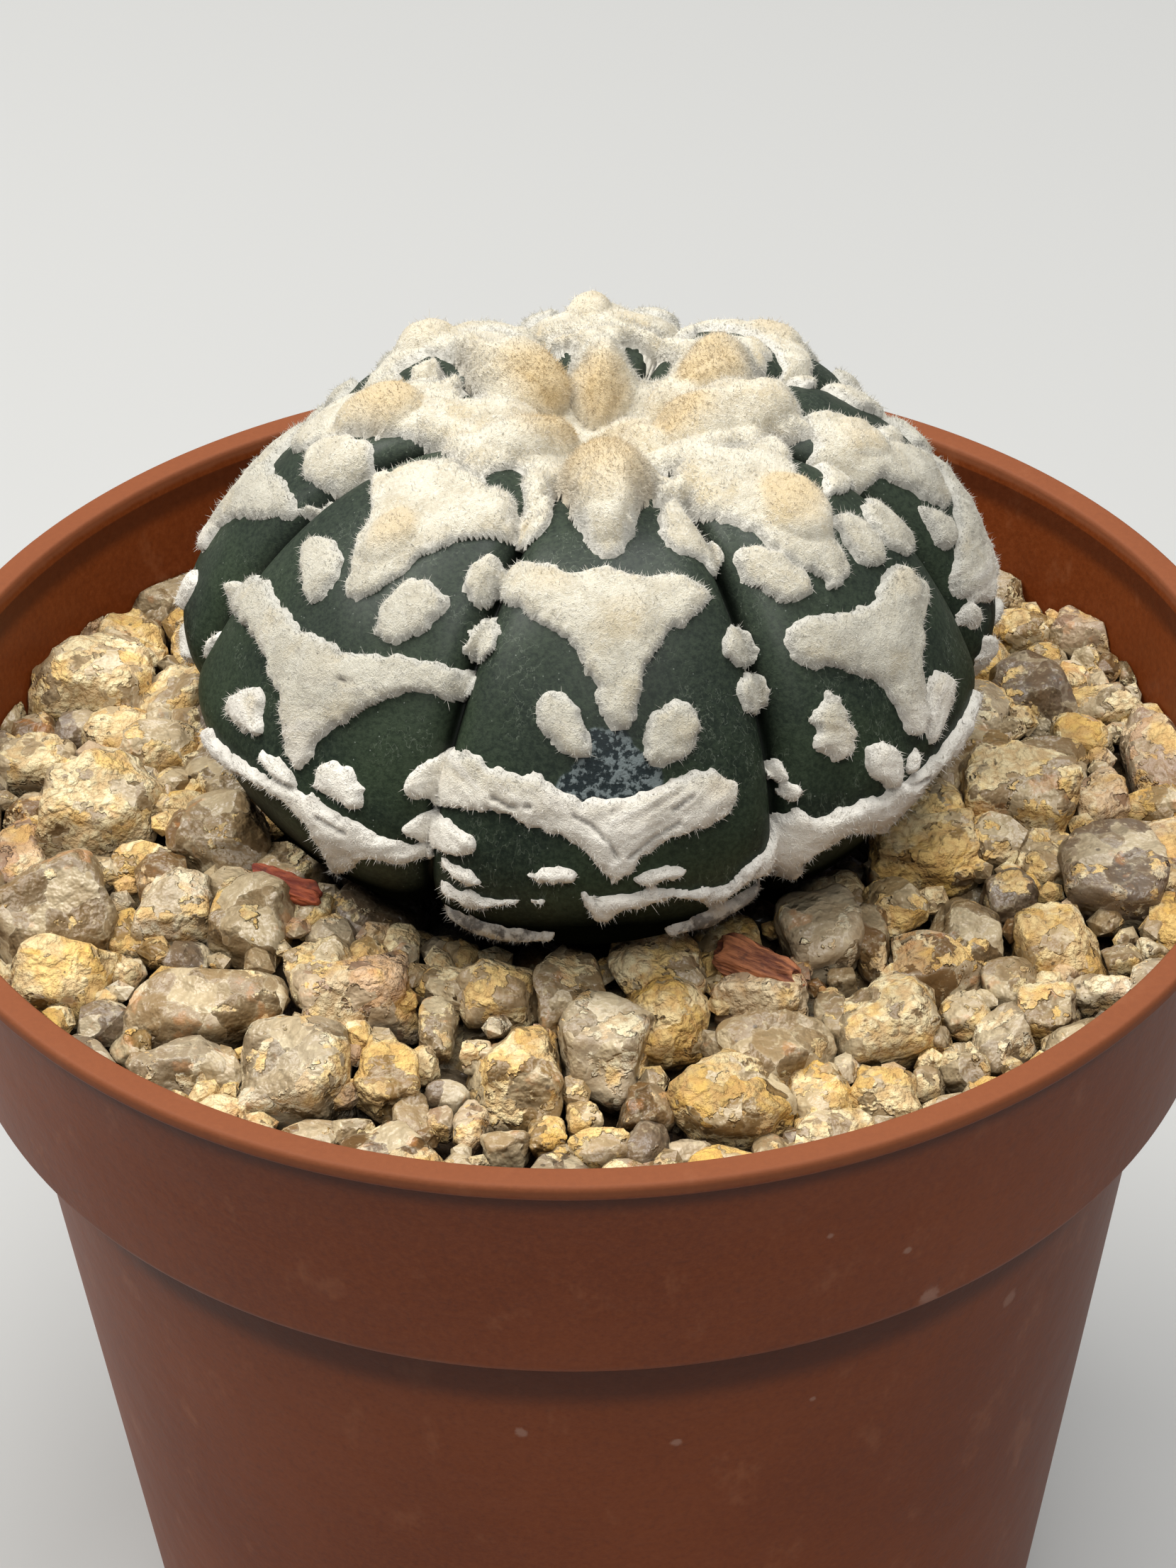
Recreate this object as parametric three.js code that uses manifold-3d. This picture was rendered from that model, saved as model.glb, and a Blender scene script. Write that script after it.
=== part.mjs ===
// A star cactus with V shaped wool flecks, rooted in a round plastic pot and top-dressed with
// crushed gravel. Millimetres, +Z up, the pot stands on z = 0 and its axis is the Z axis.
import * as THREE from 'three';
import { ConvexGeometry } from 'three/addons/geometries/ConvexGeometry.js';
import { mergeVertices } from 'three/addons/utils/BufferGeometryUtils.js';
import Module from 'manifold-3d';

const wasm = await Module();
wasm.setup();

// Pot
const RIM_HEIGHT = 58;
const RIM_RADIUS = 32.5;
const RIM_INNER_RADIUS = 31.1;
const BAND_HEIGHT = 12.6;
const BAND_FOOT_RADIUS = 30.55;
const STEP_RADIUS = 28.5;
const BASE_RADIUS = 23.4;
const FOOT_RING_WIDTH = 2.2;
const WALL = 1.2;
const FLOOR_TOP = 2.2;
const DRAIN_HOLES = 4;
const DRAIN_RADIUS = 2.6;
const DRAIN_CIRCLE = 12;
const TURN_STEPS = 48;

// Fill
const GAP = 0.3;
const SOIL_TOP = 46.4;
const BED_TOP = 50.2;
const GRAVEL_TOP = 51.6;
const GRAVEL_HEAP = 1.3;
const LOOSE_STONES = 70;

// Plant: the crest of a rib as radius and height, from the crown to the root neck, with the
// depth of the groove beside it
const PLANT_X = 0.2;
const PLANT_Y = 4.6;
const LEAN = 0.085;
const LEAN_LEVEL = 58;
const RIB_CREST = [
  { r: 0, z: 70.2, groove: 0 },
  { r: 2.6, z: 70.9, groove: 0.6 },
  { r: 6.2, z: 72.0, groove: 1.3 },
  { r: 10.2, z: 71.6, groove: 1.7 },
  { r: 14.2, z: 69.3, groove: 2.0 },
  { r: 17.4, z: 65.7, groove: 2.1 },
  { r: 19.5, z: 61.6, groove: 2.2 },
  { r: 19.8, z: 58.6, groove: 2.3 },
  { r: 18.6, z: 56.0, groove: 2.2 },
  { r: 16.2, z: 54.3, groove: 2.0 },
  { r: 14.0, z: 53.2, groove: 1.8 },
  { r: 11.2, z: 51.4, groove: 1.5 },
  { r: 8.0, z: 49.0, groove: 1.0 },
];
// Azimuths of the grooves in degrees, from -Y towards +X: rib k lies between groove k and k + 1
const GROOVE_AT = [-23.5, 27, 76, 117.5, 157.5, 200, 240, 280];
const RIBS = GROOVE_AT.length;
const NECK_RADIUS = 6;
const NECK_TOP = 47.2;
const NECK_BOTTOM = 37;

// Wool: how far the crown wool reaches along each rib, and where its young areoles bulge
const CROWN_REACH = [10.6, 6.4, 8.6, 8.4, 6.2, 8.8, 8.6, 6.6];
const CROWN_VALLEY = 3.3;
const AREOLE_AT = 4.4;
const FLECK_ROOT = 1.0;
const FLECK_LIFT = 0.3;
const FLECK_SWELL = 0.36;

// Flecks on the ribs that the photo shows well. x is the distance across the rib from its crest
// and s the distance along the crest from the crown, w the half width, all on the skin.
// A strip runs through its points, a pad is one spot.
const FLECKS = [];
FLECKS[0] = {
  strips: [
    [[-5.6, 12.4, 0.9], [-3, 13.1, 1.1], [0, 13.6, 1.4], [2.6, 13.5, 1.1], [4.9, 13.3, 0.9]],
    [[0, 13.6, 1.4], [0.1, 16.4, 0.9], [0.2, 19.2, 0.5]],
    [[-8, 22.5, 0.9], [-5, 22.5, 0.9], [-2.2, 23.3, 1], [0.3, 24, 1.3], [3, 23.4, 1], [6, 22.8, 0.8]],
    [[0.3, 24, 1.3], [0.4, 26.2, 0.5]],
    [[2.6, 9.8, 0.8], [4.9, 12, 0.5]],
    [[-3, 28.2, 0.6], [0.4, 27.9, 0.8], [3.6, 28.2, 0.6]],
  ],
  pads: [
    [-2.3, 19, 1.4], [2.6, 19.6, 1.4], [-6.2, 15.5, 0.9], [6.1, 16.2, 0.9], [6.5, 18.4, 1],
    [-7.9, 25.1, 0.8], [-6.3, 26.6, 0.8], [-2.4, 26, 0.8], [2.6, 26.1, 0.8],
  ],
};
FLECKS[1] = {
  strips: [
    [[-2.8, 8.8, 1.1], [-1.4, 10.6, 1.3], [-0.3, 12, 1.4], [-0.8, 13.8, 1], [-1, 15.4, 0.5]],
    [[1.3, 9, 1.1], [-0.3, 12, 1.4]],
    [[-5.2, 17, 1], [-3.1, 17.7, 1.1], [-1, 18.9, 1.4], [1, 18.2, 1.1], [2.9, 17.3, 0.9]],
    [[-1, 18.9, 1.4], [-0.9, 21.2, 0.9], [-0.8, 23.4, 0.4]],
    [[-4.7, 20.8, 0.8], [-5.1, 22.1, 0.9]],
    [[1.7, 22.3, 0.8], [0.6, 24.3, 0.6]],
    [[-8.2, 26, 1], [-5.4, 25.2, 1], [-2.4, 25.4, 1], [0.4, 26, 1.1], [3, 26.4, 0.9], [5.6, 26, 0.8]],
  ],
  pads: [[-3.9, 13.8, 1.5], [2, 14.4, 1.1], [4.6, 15.8, 1.2], [-3, 23.6, 1], [-7.4, 23.2, 0.6]],
};
FLECKS[2] = {
  strips: [
    [[-3.6, 11.2, 1], [-1.8, 12.4, 1.2], [-0.4, 13.4, 1.5], [2, 12.6, 1.2], [3.8, 11.6, 0.9]],
    [[-0.4, 13.4, 1.5], [-0.9, 15.6, 1.1], [-1.1, 17.8, 0.6]],
    [[-6, 20.2, 0.9], [-3.2, 21, 1], [-0.2, 21.9, 1.3], [2.8, 21.1, 1], [5.6, 20.3, 0.8]],
    [[-0.2, 21.9, 1.3], [0, 24.6, 0.5]],
    [[-5, 26.2, 0.8], [0.2, 27.2, 1], [5, 26.3, 0.7]],
  ],
  pads: [[-4.4, 18, 1.3], [2.6, 17.4, 1.3], [-4.6, 23.6, 1], [3.6, 24, 1]],
};
FLECKS[3] = {
  strips: [
    [[-4, 11.6, 1.1], [-1.8, 12.6, 1.1], [0, 13.4, 1.4], [1.9, 12.6, 1.1], [3.8, 11.8, 0.9]],
    [[0, 13.4, 1.4], [0.2, 15.8, 0.9], [0.2, 17.8, 0.5]],
    [[-5.2, 19.8, 0.9], [-2.6, 20.6, 1], [0.2, 21.4, 1.3], [2.8, 20.6, 1], [5.2, 19.9, 0.8]],
    [[0.2, 21.4, 1.3], [0.1, 24.2, 0.5]],
    [[-4.6, 26, 0.8], [0.2, 27.1, 1], [4.4, 26.1, 0.7]],
  ],
  pads: [[-2.8, 17.2, 1.2], [3, 16.8, 1.2], [-3.6, 23.4, 0.9], [3.4, 23.6, 1], [-5.6, 15.4, 0.8]],
};
FLECKS[4] = {
  strips: [
    [[-3.6, 10.2, 1], [-1.6, 9.4, 1], [0.2, 9.6, 1.2], [1.8, 9.6, 1], [3.6, 10.4, 1]],
    [[0.2, 9.6, 1.2], [0.6, 11.8, 1.1], [0.8, 13.6, 0.6]],
    [[-5.4, 17.6, 0.9], [-2.8, 18.4, 1], [0, 19.2, 1.3], [2.8, 18.3, 1], [5.4, 17.5, 0.8]],
    [[0, 19.2, 1.3], [-0.1, 21.4, 0.9], [0, 23.2, 0.5]],
    [[-5, 25.4, 0.8], [0, 26.6, 1.1], [5.2, 25.5, 0.7]],
  ],
  pads: [[-2.7, 15, 1.3], [3.2, 15.2, 1.2], [-3.2, 22.8, 1], [3, 22.6, 1.1], [5.6, 14, 0.8]],
};
FLECKS[5] = {
  strips: [
    [[-3.4, 11.6, 1], [-1.4, 12.4, 1.1], [0.4, 13.2, 1.4], [2.2, 13.6, 1.1], [3.8, 14.2, 0.8]],
    [[0.4, 13.2, 1.4], [0.2, 15.4, 1], [0.1, 17.4, 0.5]],
    [[-5.2, 20, 0.9], [-2.6, 20.8, 1], [0, 21.6, 1.3], [2.8, 20.8, 1], [5.2, 20, 0.8]],
    [[0, 21.6, 1.3], [0.1, 24.2, 0.5]],
    [[-4.6, 26.2, 0.8], [0, 27.2, 1], [4.8, 26.3, 0.7]],
  ],
  pads: [[-2.8, 17.6, 1.2], [3, 17.9, 1.2], [-3.4, 23.8, 1], [3.5, 23.6, 0.9], [3.2, 10.4, 1.1]],
};
FLECKS[6] = {
  strips: [
    [[-3.4, 11.2, 1], [-1.4, 12, 1.2], [0.6, 12.6, 1.3]],
    [[-1.4, 12, 1.2], [-1.6, 14.2, 1], [-1.4, 15.8, 0.6]],
    [[-4.4, 18, 0.9], [-2.2, 18.8, 1.2], [0, 19.4, 1.5], [2, 17.4, 1.2], [3.7, 15.6, 1]],
    [[0, 19.4, 1.5], [0.4, 22.2, 0.8]],
    [[4.9, 16.6, 0.4], [4.5, 13.8, 0.4]],
    [[-4.4, 25.8, 0.8], [0.2, 26.9, 1], [3.4, 26.7, 0.8]],
  ],
  pads: [[3.1, 12.9, 1.5], [5.8, 23.4, 1], [2.2, 24, 0.9], [-3.6, 22.4, 1]],
};
FLECKS[7] = {
  strips: [
    [[-3.8, 12.4, 1], [-2, 10.8, 1.3], [0.2, 10.2, 1.5], [2.3, 9.9, 1.3], [3.9, 9.8, 0.9]],
    [[-3.8, 12.4, 1], [-1.7, 13.8, 0.9], [-0.2, 15.4, 0.7], [0.6, 16.6, 0.4]],
    [[-6.6, 20.6, 0.8], [-3.2, 19.6, 1.1], [-0.8, 19.9, 1.1], [1.3, 20.2, 1.5]],
    [[1.3, 20.2, 1.5], [3.2, 18.5, 1], [5.4, 17.7, 0.9], [7.5, 17.6, 0.9]],
    [[1.3, 20.2, 1.5], [1.8, 22.1, 0.9], [2.6, 24, 0.4]],
    [[1, 25.4, 0.7], [3.6, 26.2, 0.9], [5.8, 26.7, 1.1], [8.2, 26.8, 0.8]],
    [[3.6, 8, 0.8], [2.6, 6.9, 0.6]],
  ],
  pads: [[-2.4, 16.4, 1.2], [3.8, 15.2, 1.5], [5.8, 13.6, 0.9], [-1.6, 23, 1], [5.3, 23.9, 1.1]],
};

// Large stones seen in the photo: centre x and y, length, width, height, turn in degrees
const LARGE_STONES = [
  [-24.2, -8.3, 6.3, 4.5, 4, 8], [-23.3, -1.2, 6.4, 5.4, 5, 40], [-18.9, -3.2, 4.4, 4.2, 4, 20],
  [-20.2, -9.2, 3.8, 3.6, 4, 70], [-15.8, -9.6, 4, 3.8, 4, 10], [-23.5, -13.1, 4.5, 4.3, 4, 30],
  [-17, -15.4, 7.3, 4.2, 4, 170], [-13, -20.4, 5.4, 4.6, 4.5, 15], [-10.8, -14.4, 5.5, 4.8, 5, 60],
  [-18, -19.8, 5.9, 3.4, 3.6, 165], [-24.1, 10, 6.2, 5.1, 5, 100], [-26.6, 3.9, 3.9, 3.6, 4, 0],
  [-3.9, -16, 3.8, 3.4, 3.6, 25], [0.6, -19.6, 4.6, 4.4, 4.4, 80], [6, -23, 5.4, 4.8, 4.4, 30],
  [8.2, -19, 4.6, 4, 4.2, 150], [-3.6, -21, 4.4, 3.8, 4, 5], [-8.6, -20, 3, 4.2, 4, 12],
  [21.4, -2.4, 5.4, 4.2, 4.4, 120], [16.6, -7.4, 3.7, 3.4, 4, 45], [12.6, -12.4, 4.2, 4.6, 4.6, 75],
  [16.6, -13.6, 3.9, 3.4, 3.6, 15], [21.3, -12, 4.3, 3.8, 4, 35], [25, -7.6, 4.8, 5, 4.4, 0],
  [25.4, 0.6, 3.8, 3.6, 3.8, 20], [13.2, -17.6, 4.4, 4.2, 4.2, 100], [18.4, -18.6, 3.8, 3.5, 3.8, 0],
  [13, -22.8, 3.5, 3.2, 3.6, 50], [3.9, -17, 3.2, 2.8, 3.2, 0], [-27.6, 14.4, 4.2, 3.4, 3.4, 60],
];

// Bark chips: centre x, y and z, length, width, thickness, turn and tilt in degrees
const BARK_LEFT = [-14.2, -7.4, 53.4, 4, 2.2, 1.5, 12, 10];
const BARK_FRONT = [8.2, -13.8, 53.2, 4, 2.6, 1.7, -22, 14];

const material = (color, roughness) => new THREE.MeshStandardMaterial({ color, roughness, metalness: 0 });
const POT_BROWN = material(0x7a3e22, 0.42);
const SOIL_BROWN = material(0x3a2a1e, 0.95);
const GRAVEL_CREAM = material(0xcdb183, 0.8);
const SKIN_GREEN = material(0x3c523f, 0.6);
const WOOL_CREAM = material(0xebe2cf, 1);
const BARK_RED = material(0x7d3a28, 0.85);

const degrees = (angle) => THREE.MathUtils.degToRad(angle);

// A small seeded generator, so that every build places the stones alike
let seed = 20177;
function random() {
  seed = (seed * 16807) % 2147483647;
  return seed / 2147483647;
}
const between = (low, high) => low + (high - low) * random();

// Solids and back
function solidOf(geometry) {
  const bare = geometry.clone();
  for (const name of Object.keys(bare.attributes)) {
    if (name !== 'position') bare.deleteAttribute(name);
  }
  const merged = mergeVertices(bare, 1e-4);
  return new wasm.Manifold(new wasm.Mesh({
    numProp: 3,
    vertProperties: new Float32Array(merged.attributes.position.array),
    triVerts: new Uint32Array(merged.index.array),
  }));
}

function geometryOf(solid) {
  const mesh = solid.getMesh();
  const geometry = new THREE.BufferGeometry();
  geometry.setAttribute('position', new THREE.BufferAttribute(new Float32Array(mesh.vertProperties), 3));
  geometry.setIndex(new THREE.BufferAttribute(new Uint32Array(mesh.triVerts), 1));
  geometry.computeVertexNormals();
  return geometry;
}

// The main body of a solid: loose scraps are dropped and hollows that the joining sealed are filled
const largest = (solid) => solid.decompose().sort((a, b) => b.volume() - a.volume())[0];

// A grid of points closed to a body: every row is a ring, the first and last close to a point
function closedRings(first, rings, last) {
  const count = rings[0].length;
  const points = [first, ...rings.flat(), last];
  const triangles = [];
  const at = (ring, column) => 1 + ring * count + (column % count);
  for (let i = 0; i < count; i += 1) {
    triangles.push(0, at(0, i), at(0, i + 1));
    for (let j = 0; j + 1 < rings.length; j += 1) {
      triangles.push(at(j, i), at(j + 1, i), at(j + 1, i + 1));
      triangles.push(at(j, i), at(j + 1, i + 1), at(j, i + 1));
    }
    triangles.push(at(rings.length - 1, i), points.length - 1, at(rings.length - 1, i + 1));
  }
  const geometry = new THREE.BufferGeometry();
  geometry.setAttribute('position', new THREE.Float32BufferAttribute(points.flat(), 3));
  geometry.setIndex(triangles);
  return geometry;
}

// A solid of revolution about the Z axis from radius and height pairs that start and end on it
function turned(profile, segments = TURN_STEPS) {
  const points = profile.map(([r, z]) => new THREE.Vector2(r, z));
  return new THREE.LatheGeometry(points, segments).rotateX(Math.PI / 2);
}

// The plant's form: the crest as a smooth curve, sampled by its own length
const crestCurve = new THREE.CatmullRomCurve3(
  RIB_CREST.map(({ r, z, groove }) => new THREE.Vector3(r, z, groove)),
  false,
  'catmullrom',
  0.5,
);
const CREST_SAMPLES = 400;
const crestTable = [];
for (let i = 0, run = 0; i <= CREST_SAMPLES; i += 1) {
  const p = crestCurve.getPoint(i / CREST_SAMPLES);
  const before = crestTable[i - 1];
  if (before) run += Math.hypot(p.x - before.r, p.y - before.z);
  crestTable.push({ s: run, r: p.x, z: p.y, groove: p.z });
}
const CREST_LENGTH = crestTable[CREST_SAMPLES].s;

// The crest at a distance s from the crown, with the outward normal of the profile
function crestAt(s) {
  const index = crestTable.findIndex((row) => row.s >= s);
  const i = THREE.MathUtils.clamp(index, 1, CREST_SAMPLES);
  const a = crestTable[i - 1];
  const b = crestTable[i];
  const t = THREE.MathUtils.clamp((s - a.s) / (b.s - a.s), 0, 1);
  const lead = crestTable[Math.min(i + 3, CREST_SAMPLES)];
  const trail = crestTable[Math.max(i - 4, 0)];
  const length = Math.hypot(lead.r - trail.r, lead.z - trail.z);
  return {
    r: a.r + (b.r - a.r) * t,
    z: a.z + (b.z - a.z) * t,
    groove: a.groove + (b.groove - a.groove) * t,
    nr: (trail.z - lead.z) / length,
    nz: (lead.r - trail.r) / length,
  };
}

const grooveAzimuth = (k) => degrees(GROOVE_AT[k % RIBS] + 360 * Math.floor(k / RIBS));
const crestAzimuth = (k) => (grooveAzimuth(k) + grooveAzimuth(k + 1)) / 2;

// Where an azimuth lies across its rib, from -1 in one groove over 0 on the crest to 1
function acrossRib(azimuth) {
  const turn = 2 * Math.PI;
  const start = grooveAzimuth(0);
  const wrapped = start + ((((azimuth - start) % turn) + turn) % turn);
  let k = 0;
  while (grooveAzimuth(k + 1) <= wrapped) k += 1;
  const low = grooveAzimuth(k);
  return { k, u: (2 * (wrapped - low)) / (grooveAzimuth(k + 1) - low) - 1 };
}

// How deep the skin lies under the crest: a low arch with a narrow crease at each groove
const hollow = (u) => 0.35 * u ** 2 + 0.65 * Math.abs(u) ** 7;

// A point of the plant, leaning a little to +X
function onPlant(azimuth, r, z) {
  const x = PLANT_X + r * Math.sin(azimuth) + LEAN * (z - LEAN_LEVEL);
  return [x, PLANT_Y - r * Math.cos(azimuth), z];
}

// A point on the skin, or lifted off it along the profile's normal
function onSkin(azimuth, s, lift) {
  const c = crestAt(s);
  const inward = c.groove * hollow(acrossRib(azimuth).u) - lift;
  return onPlant(azimuth, Math.max(c.r - inward * c.nr, 0), c.z - inward * c.nz);
}

// Columns of the skin: denser towards the grooves
const ACROSS = [-1, -0.88, -0.52, 0, 0.52, 0.88];
const COLUMNS = [];
for (let k = 0; k < RIBS; k += 1) {
  for (const u of ACROSS) {
    COLUMNS.push(crestAzimuth(k) + (u * (grooveAzimuth(k + 1) - grooveAzimuth(k))) / 2);
  }
}
const SKIN_ROWS = [2, 4.2, 6.2, 8.2, 10.4, 12.8, 15.2, 17.8, 20.4, 23, 25.2, 27, 28.8, 30.6, 32.6, 36, 40];

function stem() {
  const rings = SKIN_ROWS.map((s) => COLUMNS.map((azimuth) => onSkin(azimuth, s, 0)));
  for (const [r, z] of [[NECK_RADIUS, NECK_TOP], [NECK_RADIUS, NECK_BOTTOM + 2], [NECK_RADIUS - 2, NECK_BOTTOM]]) {
    rings.push(COLUMNS.map((azimuth) => onPlant(azimuth, r, z)));
  }
  return closedRings(onPlant(0, 0, RIB_CREST[0].z), rings, onPlant(0, 0, NECK_BOTTOM));
}

// One bead of wool laid flat, its first axis along the rib and its second across it: a ring at
// the skin, a smaller ring on top and a root below
function bead([x, s, w], sides) {
  const points = [];
  const lift = FLECK_LIFT + FLECK_SWELL * w;
  for (const [part, height, count] of [[1, 0.1, sides], [0.62, lift, 4], [0.5, -FLECK_ROOT, 3]]) {
    for (let i = 0; i < count; i += 1) {
      const a = (2 * Math.PI * (i + (part < 1 ? 0.5 : 0))) / count;
      points.push(new THREE.Vector3(s + part * w * Math.cos(a), x + part * w * Math.sin(a), height));
    }
  }
  return points;
}

// A flat piece of wool wrapped onto rib k
function wrapped(points, k) {
  const geometry = mergeVertices(new ConvexGeometry(points).deleteAttribute('normal'), 1e-4);
  const position = geometry.attributes.position;
  for (let i = 0; i < position.count; i += 1) {
    const s = position.getX(i);
    const azimuth = crestAzimuth(k) + position.getY(i) / crestAt(s).r;
    position.setXYZ(i, ...onSkin(azimuth, s, position.getZ(i)));
  }
  return geometry;
}

function flecks() {
  const solids = [];
  FLECKS.forEach(({ strips, pads }, k) => {
    for (const strip of strips) {
      for (let i = 0; i + 1 < strip.length; i += 1) {
        solids.push(solidOf(wrapped([...bead(strip[i], 5), ...bead(strip[i + 1], 5)], k)));
      }
    }
    for (const pad of pads) solids.push(solidOf(wrapped(bead(pad, 6), k)));
  });
  return solids;
}

// The wool of the crown: a star shaped cap that bulges over each young areole
const CAP_ROWS = [0.2, 0.42, 0.62, 0.84];
function crownWool() {
  const reach = (azimuth) => {
    const { k, u } = acrossRib(azimuth);
    return CROWN_VALLEY + (CROWN_REACH[k] - CROWN_VALLEY) * Math.cos((u * Math.PI) / 2) ** 0.9;
  };
  const thickness = (azimuth, part) => {
    const { u } = acrossRib(azimuth);
    const away = (part * reach(azimuth) - AREOLE_AT) / 2.4;
    const bulge = 0.9 * Math.exp(-(away ** 2) - (1.7 * u) ** 2);
    return 0.4 + 0.7 * Math.sqrt(1 - part ** 2) + bulge * (1 - part);
  };
  const top = (part) => COLUMNS.map((a) => onSkin(a, part * reach(a), GAP + thickness(a, part)));
  const under = (part) => COLUMNS.map((a) => onSkin(a, part * reach(a), GAP));
  const rings = [...CAP_ROWS.map(top), top(1), under(1), ...[...CAP_ROWS].reverse().map(under)];
  const centre = RIB_CREST[0].z + GAP;
  return closedRings(onPlant(0, 0, centre + thickness(0, 0)), rings, onPlant(0, 0, centre));
}

// The pot: rim with a thin lip, a sloping band, a step inward and a tapered body on a foot ring
const BAND_FOOT = RIM_HEIGHT - BAND_HEIGHT;
function pot() {
  const foot = BASE_RADIUS - FOOT_RING_WIDTH;
  const body = turned([
    [0, 0.8],
    [foot - 0.6, 0.8],
    [foot, 0],
    [BASE_RADIUS - 0.6, 0],
    [BASE_RADIUS, 0.6],
    [STEP_RADIUS - 0.3, BAND_FOOT - 1.6],
    [STEP_RADIUS, BAND_FOOT - 0.7],
    [STEP_RADIUS + 0.7, BAND_FOOT],
    [BAND_FOOT_RADIUS - 0.2, BAND_FOOT],
    [BAND_FOOT_RADIUS, BAND_FOOT + 0.3],
    [RIM_RADIUS - 0.7, RIM_HEIGHT - 1.3],
    [RIM_RADIUS, RIM_HEIGHT - 0.6],
    [RIM_RADIUS, RIM_HEIGHT - 0.3],
    [RIM_RADIUS - 0.35, RIM_HEIGHT],
    [RIM_INNER_RADIUS + 0.2, RIM_HEIGHT],
    [RIM_INNER_RADIUS, RIM_HEIGHT - 0.3],
    [BAND_FOOT_RADIUS - WALL, BAND_FOOT + 0.8],
    [STEP_RADIUS - WALL, BAND_FOOT - 1.6],
    [BASE_RADIUS - WALL, FLOOR_TOP + 0.8],
    [BASE_RADIUS - WALL - 0.8, FLOOR_TOP],
    [0, FLOOR_TOP],
  ]);
  let solid = solidOf(body);
  for (let i = 0; i < DRAIN_HOLES; i += 1) {
    const a = (2 * Math.PI * (i + 0.5)) / DRAIN_HOLES;
    const hole = new THREE.CylinderGeometry(DRAIN_RADIUS, DRAIN_RADIUS, 8, 12).rotateX(Math.PI / 2);
    hole.translate(DRAIN_CIRCLE * Math.cos(a), DRAIN_CIRCLE * Math.sin(a), 1);
    solid = solid.subtract(solidOf(hole));
  }
  return solid;
}

// The space inside the pot, kept clear of its wall and closed at two levels
function filling(bottom, top) {
  const inside = [[BASE_RADIUS - WALL - 0.8, FLOOR_TOP], [BASE_RADIUS - WALL, FLOOR_TOP + 0.8]];
  inside.push([STEP_RADIUS - WALL, BAND_FOOT - 1.6], [BAND_FOOT_RADIUS - WALL, BAND_FOOT + 0.8]);
  inside.push([RIM_INNER_RADIUS, RIM_HEIGHT - 0.3]);
  const radiusAt = (z) => {
    const i = Math.max(1, inside.findIndex(([, level]) => level >= z));
    const [[r0, z0], [r1, z1]] = [inside[i - 1], inside[i]];
    return r0 + ((r1 - r0) * (z - z0)) / (z1 - z0) - GAP * 1.1;
  };
  const bends = inside.filter(([, z]) => z > bottom && z < top).map(([, z]) => [radiusAt(z), z]);
  return turned([[0, bottom], [radiusAt(bottom), bottom], ...bends, [radiusAt(top), top], [0, top]]);
}

// The neck and its room in the soil, both leaning with the plant
function neckShape(extra) {
  const ring = (r, z) => COLUMNS.map((azimuth) => onPlant(azimuth, r, z));
  const bottom = NECK_BOTTOM - extra;
  const rings = [ring(NECK_RADIUS + extra, SOIL_TOP + 1), ring(NECK_RADIUS + extra, bottom)];
  return closedRings(onPlant(0, 0, SOIL_TOP + 1), rings, onPlant(0, 0, bottom));
}

function soil() {
  const bottom = FLOOR_TOP + GAP;
  return solidOf(filling(bottom, SOIL_TOP)).subtract(solidOf(neckShape(GAP)));
}

// The room that the plant takes up among the stones: close under its skin, wider by its flecks
function plantRoom() {
  const rows = [24, 26, 27.5, 29, 30.5, 32, 34, 36.5, 40, CREST_LENGTH - 0.2];
  const clear = (s) => (s < 29.5 ? 1.3 : GAP + 0.1);
  const rings = rows.map((s) => {
    const c = crestAt(s);
    return COLUMNS.map((azimuth) => onPlant(azimuth, c.r + clear(s) * c.nr, c.z + clear(s) * c.nz));
  });
  const neck = (z) => COLUMNS.map((azimuth) => onPlant(azimuth, NECK_RADIUS + GAP + 0.1, z));
  rings.push(neck(NECK_TOP - 0.4), neck(SOIL_TOP - 1));
  const high = crestAt(rows[0]).z + 1;
  return closedRings(onPlant(0, 0, high), rings, onPlant(0, 0, SOIL_TOP - 1));
}

// A crushed stone: the hull of points spread evenly over a ball, pushed in and out by chance
const STONE_POINTS = 9;
function stone(length, width, height) {
  const points = [];
  const golden = Math.PI * (3 - Math.sqrt(5));
  for (let i = 0; i < STONE_POINTS; i += 1) {
    const z = 1 - (2 * (i + 0.5)) / STONE_POINTS;
    const r = Math.sqrt(1 - z * z);
    const reach = between(0.85, 1.12);
    const a = i * golden + between(-0.25, 0.25);
    points.push(new THREE.Vector3(
      (reach * r * Math.cos(a) * length) / 2,
      (reach * r * Math.sin(a) * width) / 2,
      (reach * z * height) / 2,
    ));
  }
  return new ConvexGeometry(points);
}

// The gravel lies a little higher around the plant than at the wall
function gravelLevel(x, y) {
  const away = Math.hypot(x - PLANT_X, y - PLANT_Y);
  return GRAVEL_TOP + GRAVEL_HEAP * Math.exp(-(((away - 17) / 6) ** 2));
}

function placedStone(x, y, length, width, height, turn, sink) {
  const geometry = stone(length, width, height);
  geometry.rotateX(degrees(between(-16, 16)));
  geometry.rotateZ(degrees(turn));
  geometry.translate(x, y, gravelLevel(x, y) - sink * height);
  return solidOf(geometry);
}

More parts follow.
